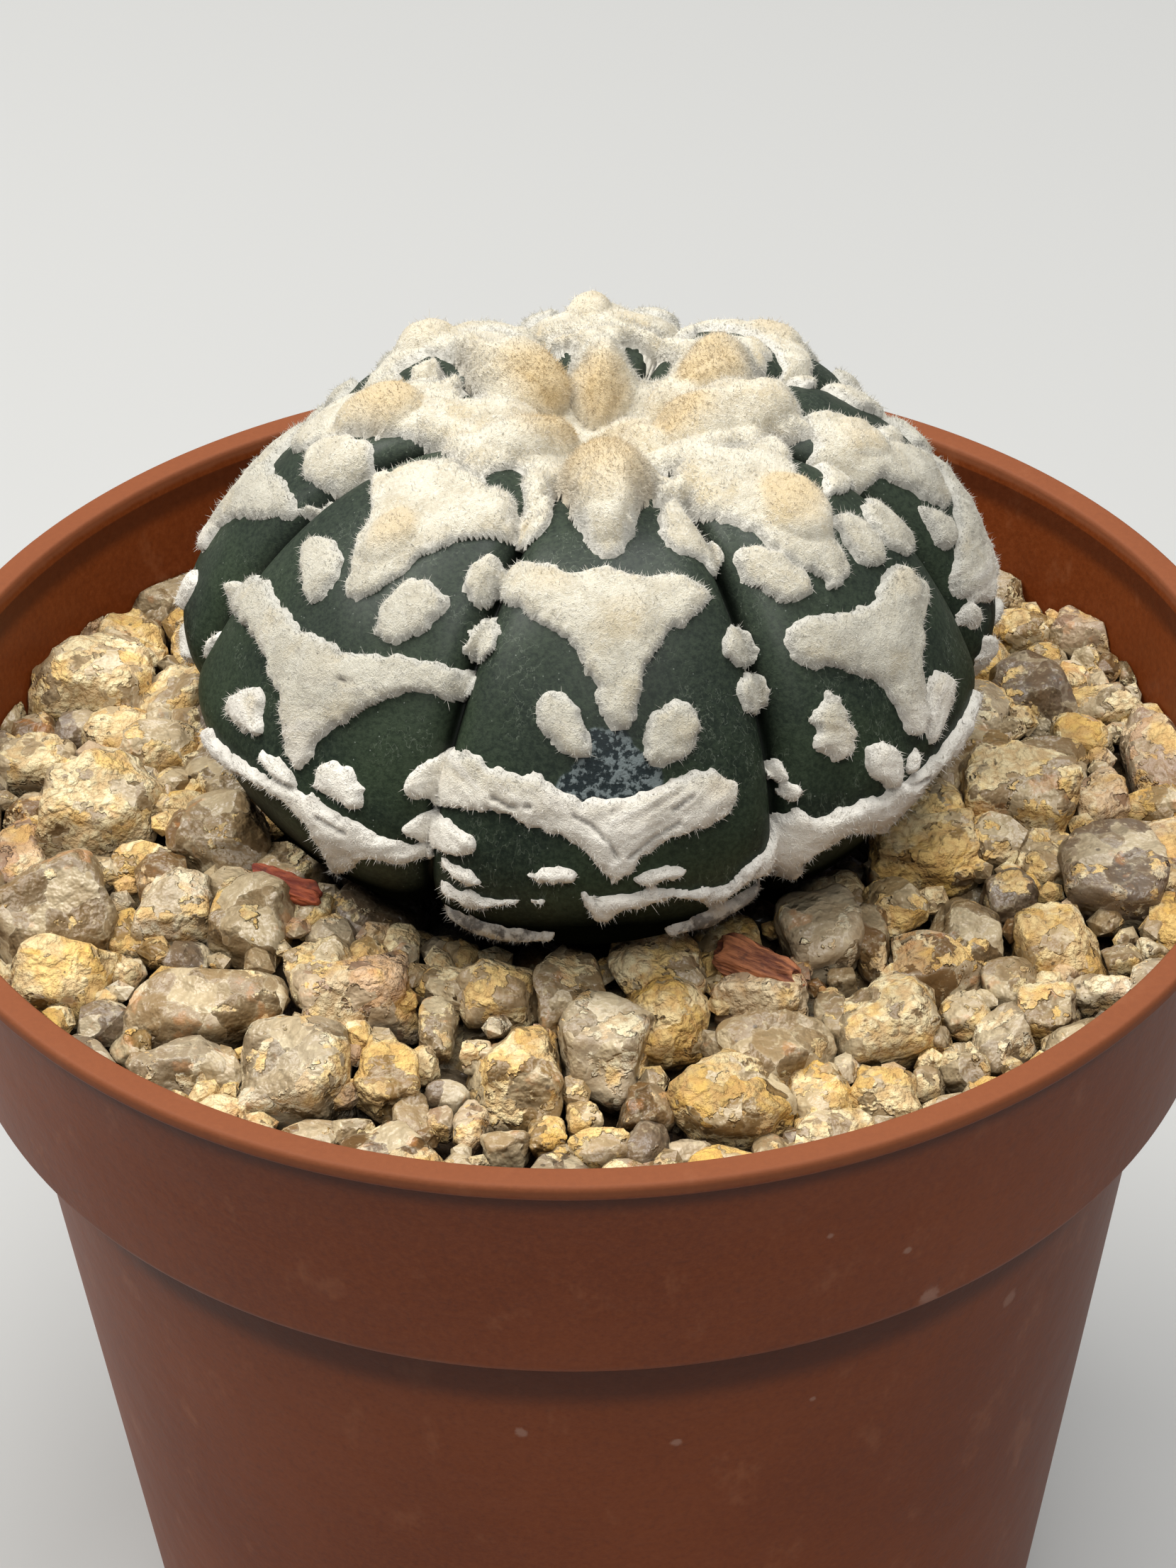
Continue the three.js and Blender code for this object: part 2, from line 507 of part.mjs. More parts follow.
function gravel() {
  const solids = [solidOf(filling(SOIL_TOP + GAP, BED_TOP))];
  const taken = [];
  for (const [x, y, length, width, height, turn] of LARGE_STONES) {
    solids.push(placedStone(x, y, length * 1.08, width * 1.08, height, turn, 0.2));
    taken.push([x, y, (length + width) / 4]);
  }
  let tries = 0;
  while (taken.length < LARGE_STONES.length + LOOSE_STONES && tries < 6000) {
    tries += 1;
    const a = between(0, 2 * Math.PI);
    const size = between(3.4, 5);
    const r = Math.sqrt(between(0, 29.2 ** 2));
    const [x, y] = [r * Math.cos(a), r * Math.sin(a)];
    const fromPlant = Math.hypot(x - PLANT_X, y - PLANT_Y);
    const free = taken.every(([u, v, w]) => Math.hypot(x - u, y - v) > 0.74 * (w + size / 2));
    if (fromPlant > 13 && free) {
      solids.push(placedStone(x, y, size * 1.2, size, size * 0.95, between(0, 180), 0.28));
      taken.push([x, y, size / 2]);
    }
  }
  const room = [solidOf(plantRoom()), solidOf(barkChip(BARK_LEFT, GAP)), solidOf(barkChip(BARK_FRONT, GAP))];
  const cut = wasm.Manifold.union(solids)
    .intersect(solidOf(filling(SOIL_TOP + GAP, RIM_HEIGHT - 1)))
    .subtract(wasm.Manifold.union(room));
  return largest(cut);
}

// A splintered chip of bark: a flat wedge with uneven ends
function barkChip([x, y, z, length, width, thick, turn, tilt], grow) {
  const points = [];
  for (const end of [-1, 1]) {
    for (const side of [-1, 1]) {
      for (const level of [-1, 1]) {
        const slant = 1 - 0.16 * end * side - 0.1 * level;
        points.push(new THREE.Vector3(
          end * ((length / 2) * slant + grow),
          side * ((width / 2) * (1 - 0.14 * end) + grow),
          level * ((thick / 2) * (1 + 0.12 * side) + grow),
        ));
      }
    }
  }
  const geometry = new ConvexGeometry(points);
  geometry.rotateX(degrees(tilt));
  geometry.rotateZ(degrees(turn));
  return geometry.translate(x, y, z);
}

const object = new THREE.Group();
function place(name, geometry, look) {
  const mesh = new THREE.Mesh(geometry, look);
  mesh.name = name;
  object.add(mesh);
}

place('pot', geometryOf(pot()), POT_BROWN);
place('soil', geometryOf(soil()), SOIL_BROWN);
place('gravel', geometryOf(gravel()), GRAVEL_CREAM);
place('cactus', geometryOf(largest(wasm.Manifold.union([solidOf(stem()), ...flecks()]))), SKIN_GREEN);
place('crown_wool', geometryOf(solidOf(crownWool())), WOOL_CREAM);
place('bark_chip_left', geometryOf(solidOf(barkChip(BARK_LEFT, 0))), BARK_RED);
place('bark_chip_front', geometryOf(solidOf(barkChip(BARK_FRONT, 0))), BARK_RED);

export default object;
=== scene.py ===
import math

import bmesh
import bpy
import numpy as np
from mathutils import Matrix, Vector
from mathutils.geometry import delaunay_2d_cdt


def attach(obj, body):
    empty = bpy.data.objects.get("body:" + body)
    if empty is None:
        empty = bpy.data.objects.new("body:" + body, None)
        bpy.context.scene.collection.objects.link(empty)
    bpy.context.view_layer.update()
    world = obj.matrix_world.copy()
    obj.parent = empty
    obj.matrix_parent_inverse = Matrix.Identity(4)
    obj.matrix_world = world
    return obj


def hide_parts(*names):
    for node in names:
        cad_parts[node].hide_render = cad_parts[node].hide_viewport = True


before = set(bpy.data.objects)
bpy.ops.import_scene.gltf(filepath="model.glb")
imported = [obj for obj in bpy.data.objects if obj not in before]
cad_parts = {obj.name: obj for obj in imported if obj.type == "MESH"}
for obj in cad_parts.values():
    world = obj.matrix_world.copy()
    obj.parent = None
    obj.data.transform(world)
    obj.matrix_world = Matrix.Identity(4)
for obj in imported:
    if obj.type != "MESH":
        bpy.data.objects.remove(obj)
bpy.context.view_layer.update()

# A star cactus with V shaped wool flecks in a round brown plastic pot topped with crushed gravel.
# Forms are worked out in millimetres and put into the meshes in metres.
MM = 0.001
TURN = 2 * math.pi
# Farther than anything here, in mm
FAR = 1e3

# The plant's middle, and its lean to +X per mm of height from a level up
PLANT_X, PLANT_Y = 0.2, 4.6
LEAN, LEAN_LEVEL = 0.085, 58.0
# Crest of a rib: radius, height and the depth of the groove beside it
RIB_CREST = np.array([
    (0, 69.5, 0), (2.6, 70.4, 0.5), (6.2, 71.9, 1.2), (10.2, 71.6, 1.7), (14.2, 69.3, 2.0),
    (17.4, 65.7, 2.1), (19.5, 61.6, 2.1), (19.8, 58.6, 1.9), (18.6, 56.0, 1.6), (16.2, 54.3, 1.4),
    (14.0, 53.2, 1.2), (11.2, 51.4, 1), (8.0, 49.0, 0.8),
])
GROOVE_AT = np.radians([-23.5, 27, 76, 117.5, 157.5, 200, 240, 280, 336.5])
RIBS = 8
CREST_AT = (GROOVE_AT[:-1] + GROOVE_AT[1:]) / 2
# The form of a groove: a wide bowl, and a narrow cut whose power makes it narrow
BOWL, CUT, CUT_POWER = 0.35, 0.5, 10
# How far the side ribs are drawn in below, from which height down, and over what height
TUCK, TUCK_LEVEL, TUCK_REACH = 2.2, 62, 6
# Rings of the root neck (radius, height), and the height of the skin's middle on the crown
NECK, SKIN_MIDDLE = ((6.0, 47.2), (6.0, 39.0), (4.0, 37.0)), 70.2
# The skin's grid: columns to a rib, then close rows from near the crown down and wide ones below
RIB_COLUMNS, CLOSE_ROWS, WIDE_ROWS = 50, (0.3, 34, 112), (35, 8)

# Outlines of the wool flecks that the photo shows: points (across, along) in mm on the skin of each rib
FLECK_OUTLINES = {
    0: [
        [(-5.7, 12.8), (-5.1, 11.5), (-3.2, 11.7), (-2, 12.1), (-0.7, 11.9), (-0.2, 11.8), (0.3, 12.4),
         (2.5, 12.4), (3.8, 12.9), (4.6, 13.8), (3.7, 14.7), (2.3, 15.3), (1.4, 16.6), (1.2, 18),
         (0.9, 19.2), (0.4, 19.4), (-0.3, 19.3), (-0.6, 18), (-0.9, 17.4), (-1.5, 16.1), (-2.7, 14.9),
         (-4.5, 14)],
        [(-3.4, 18.7), (-3.2, 17.9), (-2.7, 17.6), (-2.2, 17.8), (-1.4, 18.7), (-1, 19.6), (-1, 20.3),
         (-1.6, 20.6), (-2.2, 20.3), (-2.6, 19.8), (-3.2, 19.4)],
        [(1.4, 20), (1.5, 18.9), (2.1, 18.4), (3, 18.1), (3.6, 18.5), (3.9, 19.4), (3.7, 20.5),
         (3.2, 21), (2.3, 21.1), (1.6, 20.7)],
        [(-9.9, 23.2), (-9.4, 22.2), (-8.4, 21.3), (-7, 20.8), (-6, 20.9), (-5.2, 21.4), (-3.6, 21.3),
         (-2.5, 21.7), (-1, 22.4), (-0.2, 22.2), (0.7, 22.5), (1.9, 21.9), (3, 21.6), (4.3, 21.5),
         (5.2, 21.9), (6, 22.8), (5.6, 23.6), (4.7, 24.1), (3.1, 24.3), (1.8, 24.8), (1, 25.9),
         (0.3, 26.3), (-0.3, 25.8), (-1, 24.7), (-2.2, 23.9), (-3.7, 23.5), (-5.5, 23.1), (-8.3, 23.7)],
        [(-9.8, 24.9), (-9.3, 24.4), (-7.5, 24), (-6.7, 24.1), (-5.8, 24.5), (-5.9, 25.3), (-7, 25.6),
         (-9.2, 26)],
        [(-7.9, 26.1), (-7.2, 25.9), (-6.1, 26.3), (-5.3, 26.7), (-6, 26.9), (-7.2, 26.8)],
        [(-3.8, 25.9), (-3, 25.4), (-2.1, 25.3), (-0.9, 25.7), (-1.6, 26.1), (-2.9, 26.3)],
        [(0.9, 26.1), (1.8, 25.7), (3, 25.6), (3.8, 25.9), (3.7, 26.3), (1.8, 26.4)],
        [(4.9, 16.6), (5, 15.8), (5.9, 15.1), (6.7, 15.7), (7.3, 17.2), (6.8, 17.6), (5.6, 17.1)],
        [(5.6, 18.1), (5.9, 17.7), (6.9, 17.6), (7.8, 18.8), (7.8, 19.6), (6.7, 19.7), (5.8, 19.1)],
        [(8, 22.9), (8.4, 21.9), (9, 22.8), (8.7, 23.3)],
        [(8.7, 23.6), (9.1, 23.2), (9.5, 23.8), (9.1, 24.4)],
        [(-4.5, 6.9), (-4, 5.8), (-3.2, 5.2), (-2.7, 5.5), (-2.8, 6.4), (-2.5, 7.8), (-2.6, 9.2),
         (-3.2, 10.2), (-4.6, 10.6), (-4.4, 9.3), (-4, 8)],
        [(1.9, 9.7), (2, 8.8), (2.5, 8), (3.3, 8.1), (3.6, 9.6), (4.6, 10.4), (5.4, 12), (5, 12.7),
         (4.3, 11.9), (2.9, 11.6), (2.2, 10.8)],
    ],
    1: [
        [(-2.2, 6.4), (-1.6, 5.8), (-0.4, 6.1), (0.4, 7.2), (1.3, 7.7), (2.7, 7.6), (3.8, 8.2), (3.8, 9),
         (2.3, 9.8), (1.4, 10.3), (1.4, 11.6), (0.9, 12.8), (0.1, 14), (0, 15), (-0.8, 15.7),
         (-1.5, 15.8), (-2.1, 14.6), (-2.7, 13.1), (-2.8, 11.6), (-3.1, 10.3), (-3.5, 9), (-3.1, 8)],
        [(-4.7, 12.9), (-4.3, 12.1), (-3.7, 11.9), (-2.9, 12.3), (-2.4, 13.5), (-2.3, 14.9), (-3, 15.5),
         (-3.9, 15.6), (-4.4, 14.7)],
        [(0.8, 13.2), (1.6, 13.1), (2.3, 13.7), (2.8, 14.9), (2.4, 15.8), (1.8, 16.3), (0.9, 16),
         (0.3, 15)],
        [(2.7, 13.9), (4.2, 13.7), (5.6, 14.3), (6.3, 15.4), (6.3, 16.8), (5.2, 17.3), (3.8, 16.9),
         (2.9, 15.8)],
        [(-5.2, 17), (-4.6, 16.3), (-3.6, 16.3), (-2.9, 16.6), (-1.5, 17), (0.2, 17.1), (1.3, 16.5),
         (2, 16.5), (3.1, 17), (3.8, 18.2), (3.9, 19), (2.6, 19.4), (1.7, 20.1), (1, 21.1), (0.5, 22.2),
         (0, 23.7), (-0.6, 24), (-1.2, 23.6), (-1.7, 22), (-1.8, 20.7), (-2.6, 19.7), (-3.6, 18.9),
         (-4.6, 18.6), (-5.2, 17.9)],
        [(-5.5, 20.4), (-5, 20), (-4.4, 19.9), (-4, 20.5), (-4, 21.6), (-4.3, 22.7), (-4.8, 23.2),
         (-5.5, 22.9), (-6.1, 22), (-5.8, 21.1)],
        [(-4, 23.5), (-3.5, 22.9), (-2.8, 22.9), (-2.2, 23.5), (-2, 24.7), (-2.5, 25.4), (-3.4, 25.3)],
        [(-1.9, 25.1), (-1.4, 24.4), (-0.9, 24.1), (-0.7, 24.7), (-1.2, 25.5)],
        [(-0.2, 24.3), (0.3, 23.3), (1, 22.1), (1.7, 21.9), (2.8, 22.3), (3, 23.2), (2.4, 23.8),
         (1.5, 23.9), (0.7, 24.7), (0.1, 24.8)],
        [(-8, 25), (-7.6, 24.7), (-6.5, 25.6), (-5.5, 25.2), (-4.2, 25.4), (-2.4, 25.6), (-0.3, 25.5),
         (2.2, 25.3), (4.2, 25.4), (6, 25), (6.4, 25.8), (4.7, 26.7), (2.4, 26.8), (0.9, 26.6),
         (-0.9, 26.9), (-2.1, 28.1), (-3, 28.3), (-4.8, 27.1), (-6.2, 27.2), (-7.2, 28), (-6.8, 29.4),
         (-7.6, 29.8), (-9.6, 28), (-10.6, 27.6), (-9.8, 26.8), (-8.6, 25.9)],
    ],
    2: [
        [(-5.2, 11.2), (-3.3, 10.6), (-2.4, 10.2), (-1.4, 9.6), (-0.7, 10.2), (-0.5, 11.6), (-0.8, 12.9),
         (-1.2, 14), (0, 15.9), (0.8, 17), (0.4, 17.8), (-0.9, 17.9), (-1.8, 19), (-2.7, 18.1),
         (-3.3, 16.7), (-3.5, 15.4), (-3.8, 14), (-5.2, 13), (-7, 12.5), (-7.2, 11.8)],
        [(-3.9, 16.7), (-3.3, 18.2), (-3.3, 19.3), (-3.9, 19.8), (-4.7, 19.7), (-4.9, 18.6),
         (-4.4, 17.3)],
        [(-6, 21.6), (-5.4, 20.4), (-4.2, 19.8), (-3, 19.5), (-1.6, 19.3), (0.2, 20), (2.4, 19.7),
         (4.8, 19.2), (5.6, 20.2), (4, 21.4), (2, 22), (0.9, 23), (0.5, 25.2), (-0.5, 25.4),
         (-1.1, 23.8), (-2.6, 23.9), (-4.6, 23.8)],
        [(-6, 22.2), (-5.5, 22.4), (-5.4, 23.4), (-6, 23.9), (-6.4, 23)],
        [(-6.1, 24.8), (-5.5, 24.6), (-4.8, 25.4), (-4.8, 26.4), (-5.3, 27.6), (-5.8, 27.5), (-6.3, 26)],
        [(-1.4, 14), (-0.3, 13.6), (0.8, 14.6), (0.4, 15.5), (-0.9, 15.2)],
        [(-3.3, 7), (-2.8, 8.6), (-2.5, 9.9), (-1.7, 10), (-0.6, 9.3), (0.4, 8.7), (0.8, 7.4), (0, 6.2)],
    ],
    6: [
        [(-4.4, 12.2), (-3, 11), (-1.8, 9.6), (-0.8, 8), (0.2, 6.6), (1.8, 6.2), (3, 7.6), (2.6, 8.9),
         (2.3, 10.4), (1.9, 11.9), (1.1, 13.7), (0.7, 15.2), (-0.4, 16.1), (-1.6, 16), (-2.6, 15),
         (-4, 14.4), (-5, 13.4)],
        [(2.1, 15.1), (1.2, 14.7), (0.9, 14), (1, 13.2), (1.5, 12.3), (2.3, 11.5), (3.1, 11.3),
         (4, 11.8), (4.6, 12.7), (4.3, 13.7), (3.9, 14.5), (3.2, 14.9)],
        [(4.5, 16.1), (4.3, 15.3), (4.7, 14.4), (5.3, 13.5), (5.5, 14), (5.1, 15.1)],
        [(3.8, 15.4), (4.7, 16.1), (4.3, 17.1), (3.2, 18.4), (1.6, 19.8), (0.9, 21.3), (1.1, 22.8),
         (0.3, 23.3), (-0.7, 22.6), (-1.1, 21.3), (-1.9, 20.2), (-3, 19), (-4.3, 18.2), (-5, 17.2),
         (-4.2, 16.5), (-2.6, 16.6), (-1.2, 17.2), (0, 17.4), (1.5, 16.5)],
        [(2.6, 25.2), (1.9, 24.5), (1.6, 23.4), (2.4, 22.9), (3.2, 23.2), (3.1, 24.4)],
    ],
    7: [
        [(0.5, 16.5), (0.1, 16.1), (-0.4, 15.1), (-1, 14.6), (-1.4, 13.6), (-1.8, 12.7), (-3.2, 12.2),
         (-4.1, 11.6), (-3.5, 10.9), (-3, 10.5), (-3, 9.8), (-2.2, 9.1), (-1.9, 8.4), (-1.2, 8),
         (0, 8.2), (1.4, 8.3), (2.7, 8.3), (3.5, 8.7), (4, 9.6), (4.5, 10.4), (3.7, 10.8), (2.8, 11.7),
         (2.4, 12.5), (2.1, 13.8), (1.8, 15.4), (1.2, 16.2)],
        [(-3.9, 16.4), (-4.3, 15.9), (-4.1, 15.2), (-3.2, 14.8), (-1.8, 14.7), (-0.9, 15.2),
         (-0.5, 16.2), (-0.7, 17), (-1.4, 17.3), (-2.8, 17)],
        [(2.8, 16.9), (2.4, 16.2), (2.3, 15.3), (2.5, 14.3), (3.2, 13.9), (4.1, 14), (4.8, 14.5),
         (5, 15.3), (4.8, 16.4), (4.2, 17.2), (3.4, 17.3)],
        [(4.7, 13.3), (4.3, 12.2), (4.5, 11.5), (5.1, 11.6), (5.9, 13), (6.1, 13.9), (5.6, 14.2)],
        [(7.1, 16.6), (6.6, 15.7), (6.4, 14.6), (6.7, 14.2), (7.8, 15.1), (8.4, 16), (8.1, 16.6)],
        [(-9.6, 21.5), (-9.7, 20.7), (-8.8, 20), (-7.6, 19.3), (-6.2, 18.8), (-4.8, 18.4), (-3.2, 18.4),
         (-1.8, 18.3), (-0.6, 18.6), (0.8, 18.2), (2.2, 18.3), (4.2, 17.5), (5.8, 17.3), (7.2, 16.9),
         (8.5, 17.8), (8.1, 18.7), (7, 18.6), (5.8, 19), (4.9, 19.7), (3.9, 21), (3.3, 22.4), (3, 23.8),
         (2.4, 24), (1.6, 23.3), (0.7, 22.2), (-0.2, 21.2), (-1.6, 20.8), (-3.2, 20.4), (-5, 20.4),
         (-7, 20.9), (-8.6, 21.6)],
        [(-9.6, 24.4), (-9.5, 23.5), (-8.8, 22.8), (-8.2, 23), (-8.8, 24.6)],
        [(-3.2, 23.6), (-3, 22.9), (-2.3, 22.2), (-1.6, 22), (-0.9, 22.1), (-0.2, 23), (-0.3, 23.7),
         (-1.2, 24), (-2.4, 23.9)],
        [(3.7, 23.9), (3.8, 23.2), (4.6, 22.8), (5.6, 23.2), (6.5, 24), (6.6, 24.6), (5.4, 24.7),
         (4.2, 24.4)],
        [(0, 24.3), (0.9, 24), (1.8, 24), (3.2, 24.6), (2.4, 24.9), (1.1, 24.8)],
        [(-5.4, 26), (-3, 25.4), (-0.3, 25.3), (1.5, 24.8), (3, 24.9), (4.2, 24.7), (5.6, 25),
         (7.1, 25.3), (8.6, 25.9), (10.2, 25.9), (10.4, 26.8), (8.8, 27.2), (7.6, 26.9), (6.6, 27.4),
         (6.2, 28.7), (5, 29.2), (4.5, 28.2), (4.4, 26.6), (3, 25.8), (1, 25.6), (-2, 26.4), (-4.6, 27)],
    ],
}
# Strips of beads where the photo shows less: points (across, along, half width)
FLECK_STRIPS = {
    0: [
        [(-7, 29.8, 0.4), (-4.8, 30.3, 0.8), (-2.4, 29.7, 0.3)],
        [(-7.4, 27.8, 0.3), (-6, 27.9, 0.5), (-4.2, 27.4, 0.2), (-2.6, 27.1, 0.05)],
        [(-0.9, 26.9, 0.3), (-0.1, 27.6, 0.6), (0.9, 27.2, 0.4), (2.6, 27, 0.25), (4.2, 27.4, 0.2)],
        [(4.9, 28, 0.4), (6.2, 27.7, 0.5), (7.4, 26.9, 0.4)],
        [(3.2, 30, 0.2), (5.2, 29.8, 0.7), (7.4, 29.2, 0.4)],
    ],
    2: [
        [(-4.8, 28.6, 0.5), (-2.4, 28, 0.9), (-0.6, 28.6, 0.8), (0.4, 29.4, 0.5), (2, 28.2, 0.8),
         (5, 27.4, 0.5)],
        [(2.8, 13.2, 1.1), (3.6, 15, 0.8)],
        [(3.4, 24, 1), (3.9, 25, 0.7)],
    ],
    3: [
        [(-4, 11.2, 1), (-1.8, 12.3, 1.1), (0, 13.4, 1.5), (1.9, 12.3, 1.1), (3.8, 11.4, 0.9)],
        [(0, 13.4, 1.4), (0.2, 15.8, 0.9), (0.2, 17.8, 0.5)],
        [(-5.4, 19.4, 0.9), (-2.6, 20.4, 1), (0.2, 21.4, 1.4), (2.8, 20.4, 1), (5.4, 19.5, 0.8)],
        [(0.2, 21.4, 1.3), (0.1, 24.4, 0.5)],
        [(-4.8, 25.8, 0.5), (-2.6, 26.6, 0.8), (-0.6, 27.4, 0.9), (0.2, 28.2, 0.6), (1.4, 27.2, 0.9),
         (4.4, 26.1, 0.6)],
    ],
    4: [
        [(-3.8, 10.4, 1), (-1.6, 9.6, 1), (0.2, 9.8, 1.3), (1.8, 9.7, 1), (3.8, 10.6, 1)],
        [(0.2, 9.8, 1.3), (0.6, 11.9, 1.1), (0.8, 13.8, 0.6)],
        [(-5.6, 17.3, 0.9), (-2.8, 18.2, 1), (0, 19.2, 1.4), (2.8, 18.1, 1), (5.6, 17.2, 0.8)],
        [(0, 19.2, 1.3), (-0.1, 21.4, 0.9), (0, 23.4, 0.5)],
        [(-5.2, 25.2, 0.6), (-3, 26.2, 0.9), (-1.2, 26.4, 0.7), (0, 27.6, 0.9), (1.6, 26.7, 0.8),
         (5.2, 25.5, 0.6)],
    ],
    5: [
        [(-3.6, 11.2, 1), (-1.4, 12.2, 1.1), (0.4, 13.2, 1.5), (2.2, 13.6, 1.1), (4, 14, 0.8)],
        [(0.4, 13.2, 1.4), (0.2, 15.4, 1), (0.1, 17.6, 0.5)],
        [(-5.4, 19.6, 0.9), (-2.6, 20.6, 1), (0, 21.6, 1.4), (2.8, 20.6, 1), (5.4, 19.6, 0.8)],
        [(0, 21.6, 1.3), (0.1, 24.4, 0.5)],
        [(-4.8, 26, 0.5), (-2.4, 26.7, 0.9), (0, 28, 0.8), (1.2, 27.2, 0.7), (3, 26.9, 0.8),
         (4.9, 26, 0.5)],
    ],
    6: [
        [(-4.6, 25.8, 0.5), (-2.2, 26.8, 0.8), (0, 27.4, 1), (0.6, 28.4, 0.5), (1.8, 27.2, 0.7),
         (4.3, 26.7, 0.6)],
    ],
}
# Round and oval spots of wool: across, along, half width and half length
FLECK_SPOTS = {
    2: [(3.2, 17.6, 1.2, 1.3), (-2.2, 26, 0.9, 0.8)],
    3: [(-2.8, 17.2, 1.1, 1.3), (3, 16.8, 1.1, 1.4), (-3.6, 23.4, 0.9, 1), (3.4, 23.6, 1, 0.9),
        (-5.6, 15.4, 0.7, 1)],
    4: [(-2.7, 15, 1.2, 1.4), (3.2, 15.2, 1.1, 1.3), (-3.2, 22.8, 1, 1), (3, 22.6, 1.1, 1),
        (5.6, 14, 0.7, 1)],
    5: [(-2.8, 17.6, 1.1, 1.3), (3, 17.9, 1.2, 1.2), (-3.4, 23.8, 1, 1), (3.5, 23.6, 0.9, 1),
        (3.2, 10.4, 1, 1.2)],
    6: [(-3.8, 23.6, 1, 1.1), (-4.6, 13.4, 0.8, 1)],
}
# Skin that shows between the wool of the crown: points (x, y) in mm on the crown laid flat about its centre
CROWN_WINDOWS = [
    [(-11.6, -0.4), (-10.1, -0.7), (-8.9, -1), (-8.3, -1.6), (-8.4, -3), (-9.3, -3.4), (-9.8, -3.9),
     (-11, -3.3), (-11.6, -3.6), (-11.4, -1.6)],
    [(-6, -5.2), (-5.2, -5), (-4.3, -4.6), (-3.9, -5), (-3.9, -6.1), (-3.7, -7.2), (-4.3, -7.2),
     (-5.3, -6.4)],
    [(-10.4, 6.7), (-9.9, 8), (-8.8, 7.9), (-7.8, 6), (-6.8, 4.4), (-6.2, 2), (-7, 1.5), (-7.2, 4.3),
     (-8.4, 5.6)],
    [(-3.6, 6.9), (-2.4, 7.4), (-1.5, 7), (-1.5, 5.2), (-2.1, 4.7), (-3.2, 5.2)],
    [(0.9, 7.1), (2.1, 6.9), (3.6, 5.6), (3.5, 4.3), (2.4, 4.6), (1.7, 5.2), (1.2, 6)],
    [(7.3, 2), (7.8, 3), (8.4, 4.8), (8.6, 3.2), (9, 0.6), (8.2, 1.1), (7.5, 1.2)],
    [(8.4, -1.7), (9.7, -1.3), (10.3, -2), (9.9, -4.2), (9.3, -5.7), (8.8, -5.2), (8.9, -3.6)],
    [(5.8, -4.1), (6.2, -3.5), (6.8, -3), (6.4, -3.9)],
    [(2.9, -4.4), (3.5, -4.6), (3.5, -5), (3.2, -5.9), (2.8, -5.2)],
    [(-2.5, -5.4), (-2.2, -7), (-1.75, -8.6), (-1.1, -10.4), (-3.6, -10.6), (-2.8, -9.2), (-2.5, -7.4)],
    [(2.4, -6.2), (2.15, -7.3), (1.85, -8.7), (1.2, -10.4), (2.2, -10.8), (2, -9.2), (2.35, -7.6)],
]
# The wool of the front rib runs out in a shield
SHIELD = [
    (-2.6, -3), (-2.3, -6.6), (-1.8, -8.4), (-1.2, -10), (-0.6, -11.1), (-0.1, -11.6), (0.5, -11.3),
    (1, -10.6), (1.5, -9.4), (1.9, -8.2), (2.2, -6.6), (2.6, -3),
]
# The felt of the crown: its radius, and arms of it (x, y, half width) on the same flat crown
CROWN_RADIUS = 8.3
CROWN_ARMS = [
    [(-6, 1, 2), (-8.5, 1.6, 1.6), (-10.9, 2.4, 1.8), (-13, 3, 1.2)],
    [(-4.2, 4.5, 1.9), (-6, 6.8, 1.6), (-7.5, 8.2, 1.2)],
    [(5, 3.5, 1.9), (6.5, 5.5, 1.8), (7.6, 6.4, 1)],
    [(4.8, 0.2, 1.9), (7.5, -0.6, 1.2), (9.6, -1, 0.5)],
    [(-3.8, 9.2, 1), (-0.2, 9.4, 1.5), (3.8, 9.4, 1)],
]
# Where the wool of the crown hands over to that of the ribs, along the skin
WOOL_SEAM = 9.3
# Sheets of wool: from and to along the skin, rows, columns, height of the hub that closes it, fibres, node
WOOL_SHEETS = {
    "crown_wool_felt": (0.06, WOOL_SEAM, 92, 620, 67.0, 24000, "crown_wool"),
    "wool_flecks": (WOOL_SEAM, 31.6, 176, 1200, 62.0, 36000, "cactus"),
}
# Wool is kept down to this far under the skin, and goes no deeper than the second
WOOL_EDGE, WOOL_DEEPEST = -0.16, -0.3
# A corky scar on the front rib, narrow above: across, along, half width and half length
SCAR = (0, 21.2, 4.2, 2.6)
# Felted areoles: rib, across, along, half width, half length, lift and how tan they are
AREOLES = [
    (0, -0.3, 7.1, 2.6, 3.6, 1.4, 1), (1, 0.4, 2.8, 1.6, 1.5, 0.9, 0.5), (2, -1.3, 4.7, 1.9, 2, 1.25, 1),
    (2, -0.6, 7, 1.9, 2.5, 1, 0.2), (3, -1.9, 6.6, 1.8, 1.9, 1.35, 1), (3, -1.4, 4.4, 1.4, 2, 0.8, 0.2),
    (4, 0.2, 3.9, 1.9, 2.7, 1.8, 1.1), (5, 0.8, 5.4, 2.2, 2.5, 1.5, 1.2),
    (5, 2.1, 7.9, 1.5, 2.7, 1.1, 0.2), (6, 0.6, 11, 1.7, 2, 0.8, 1), (7, -1, 4.1, 1.9, 2.7, 1.2, 1.1),
    (6, 0.6, 4.4, 1.3, 1.6, 0.3, 0.3), (4, -1, 0.4, 1.7, 1.5, 0.5, 0.6),
    (1, -0.4, 11.6, 1.6, 1.9, 0.6, 1), (7, 0.3, 13.1, 1.2, 1.4, 0.35, 0.8),
    (2, -2, 12.6, 1.2, 1.4, 0.3, 0.3), (4, 0.8, 10.3, 1.1, 1.2, 0.7, 0.3),
    (3, 0, 13.2, 1.3, 1.4, 0.4, 0.6), (5, 0.4, 13.2, 1.4, 1.4, 0.8, 0.3),
    (0, 0.3, 14.8, 1.4, 1.3, 0.1, 0.3), (0, -3, 13, 1.2, 0.8, 0.06, 0.4),
    (7, 1.6, 19.6, 1.2, 1, 0.1, 0.2), (1, 2.1, 17.7, 0.9, 0.9, 0.15, 0.5),
    (0, 5, 22.6, 1, 0.8, 0.1, 0.5),
]
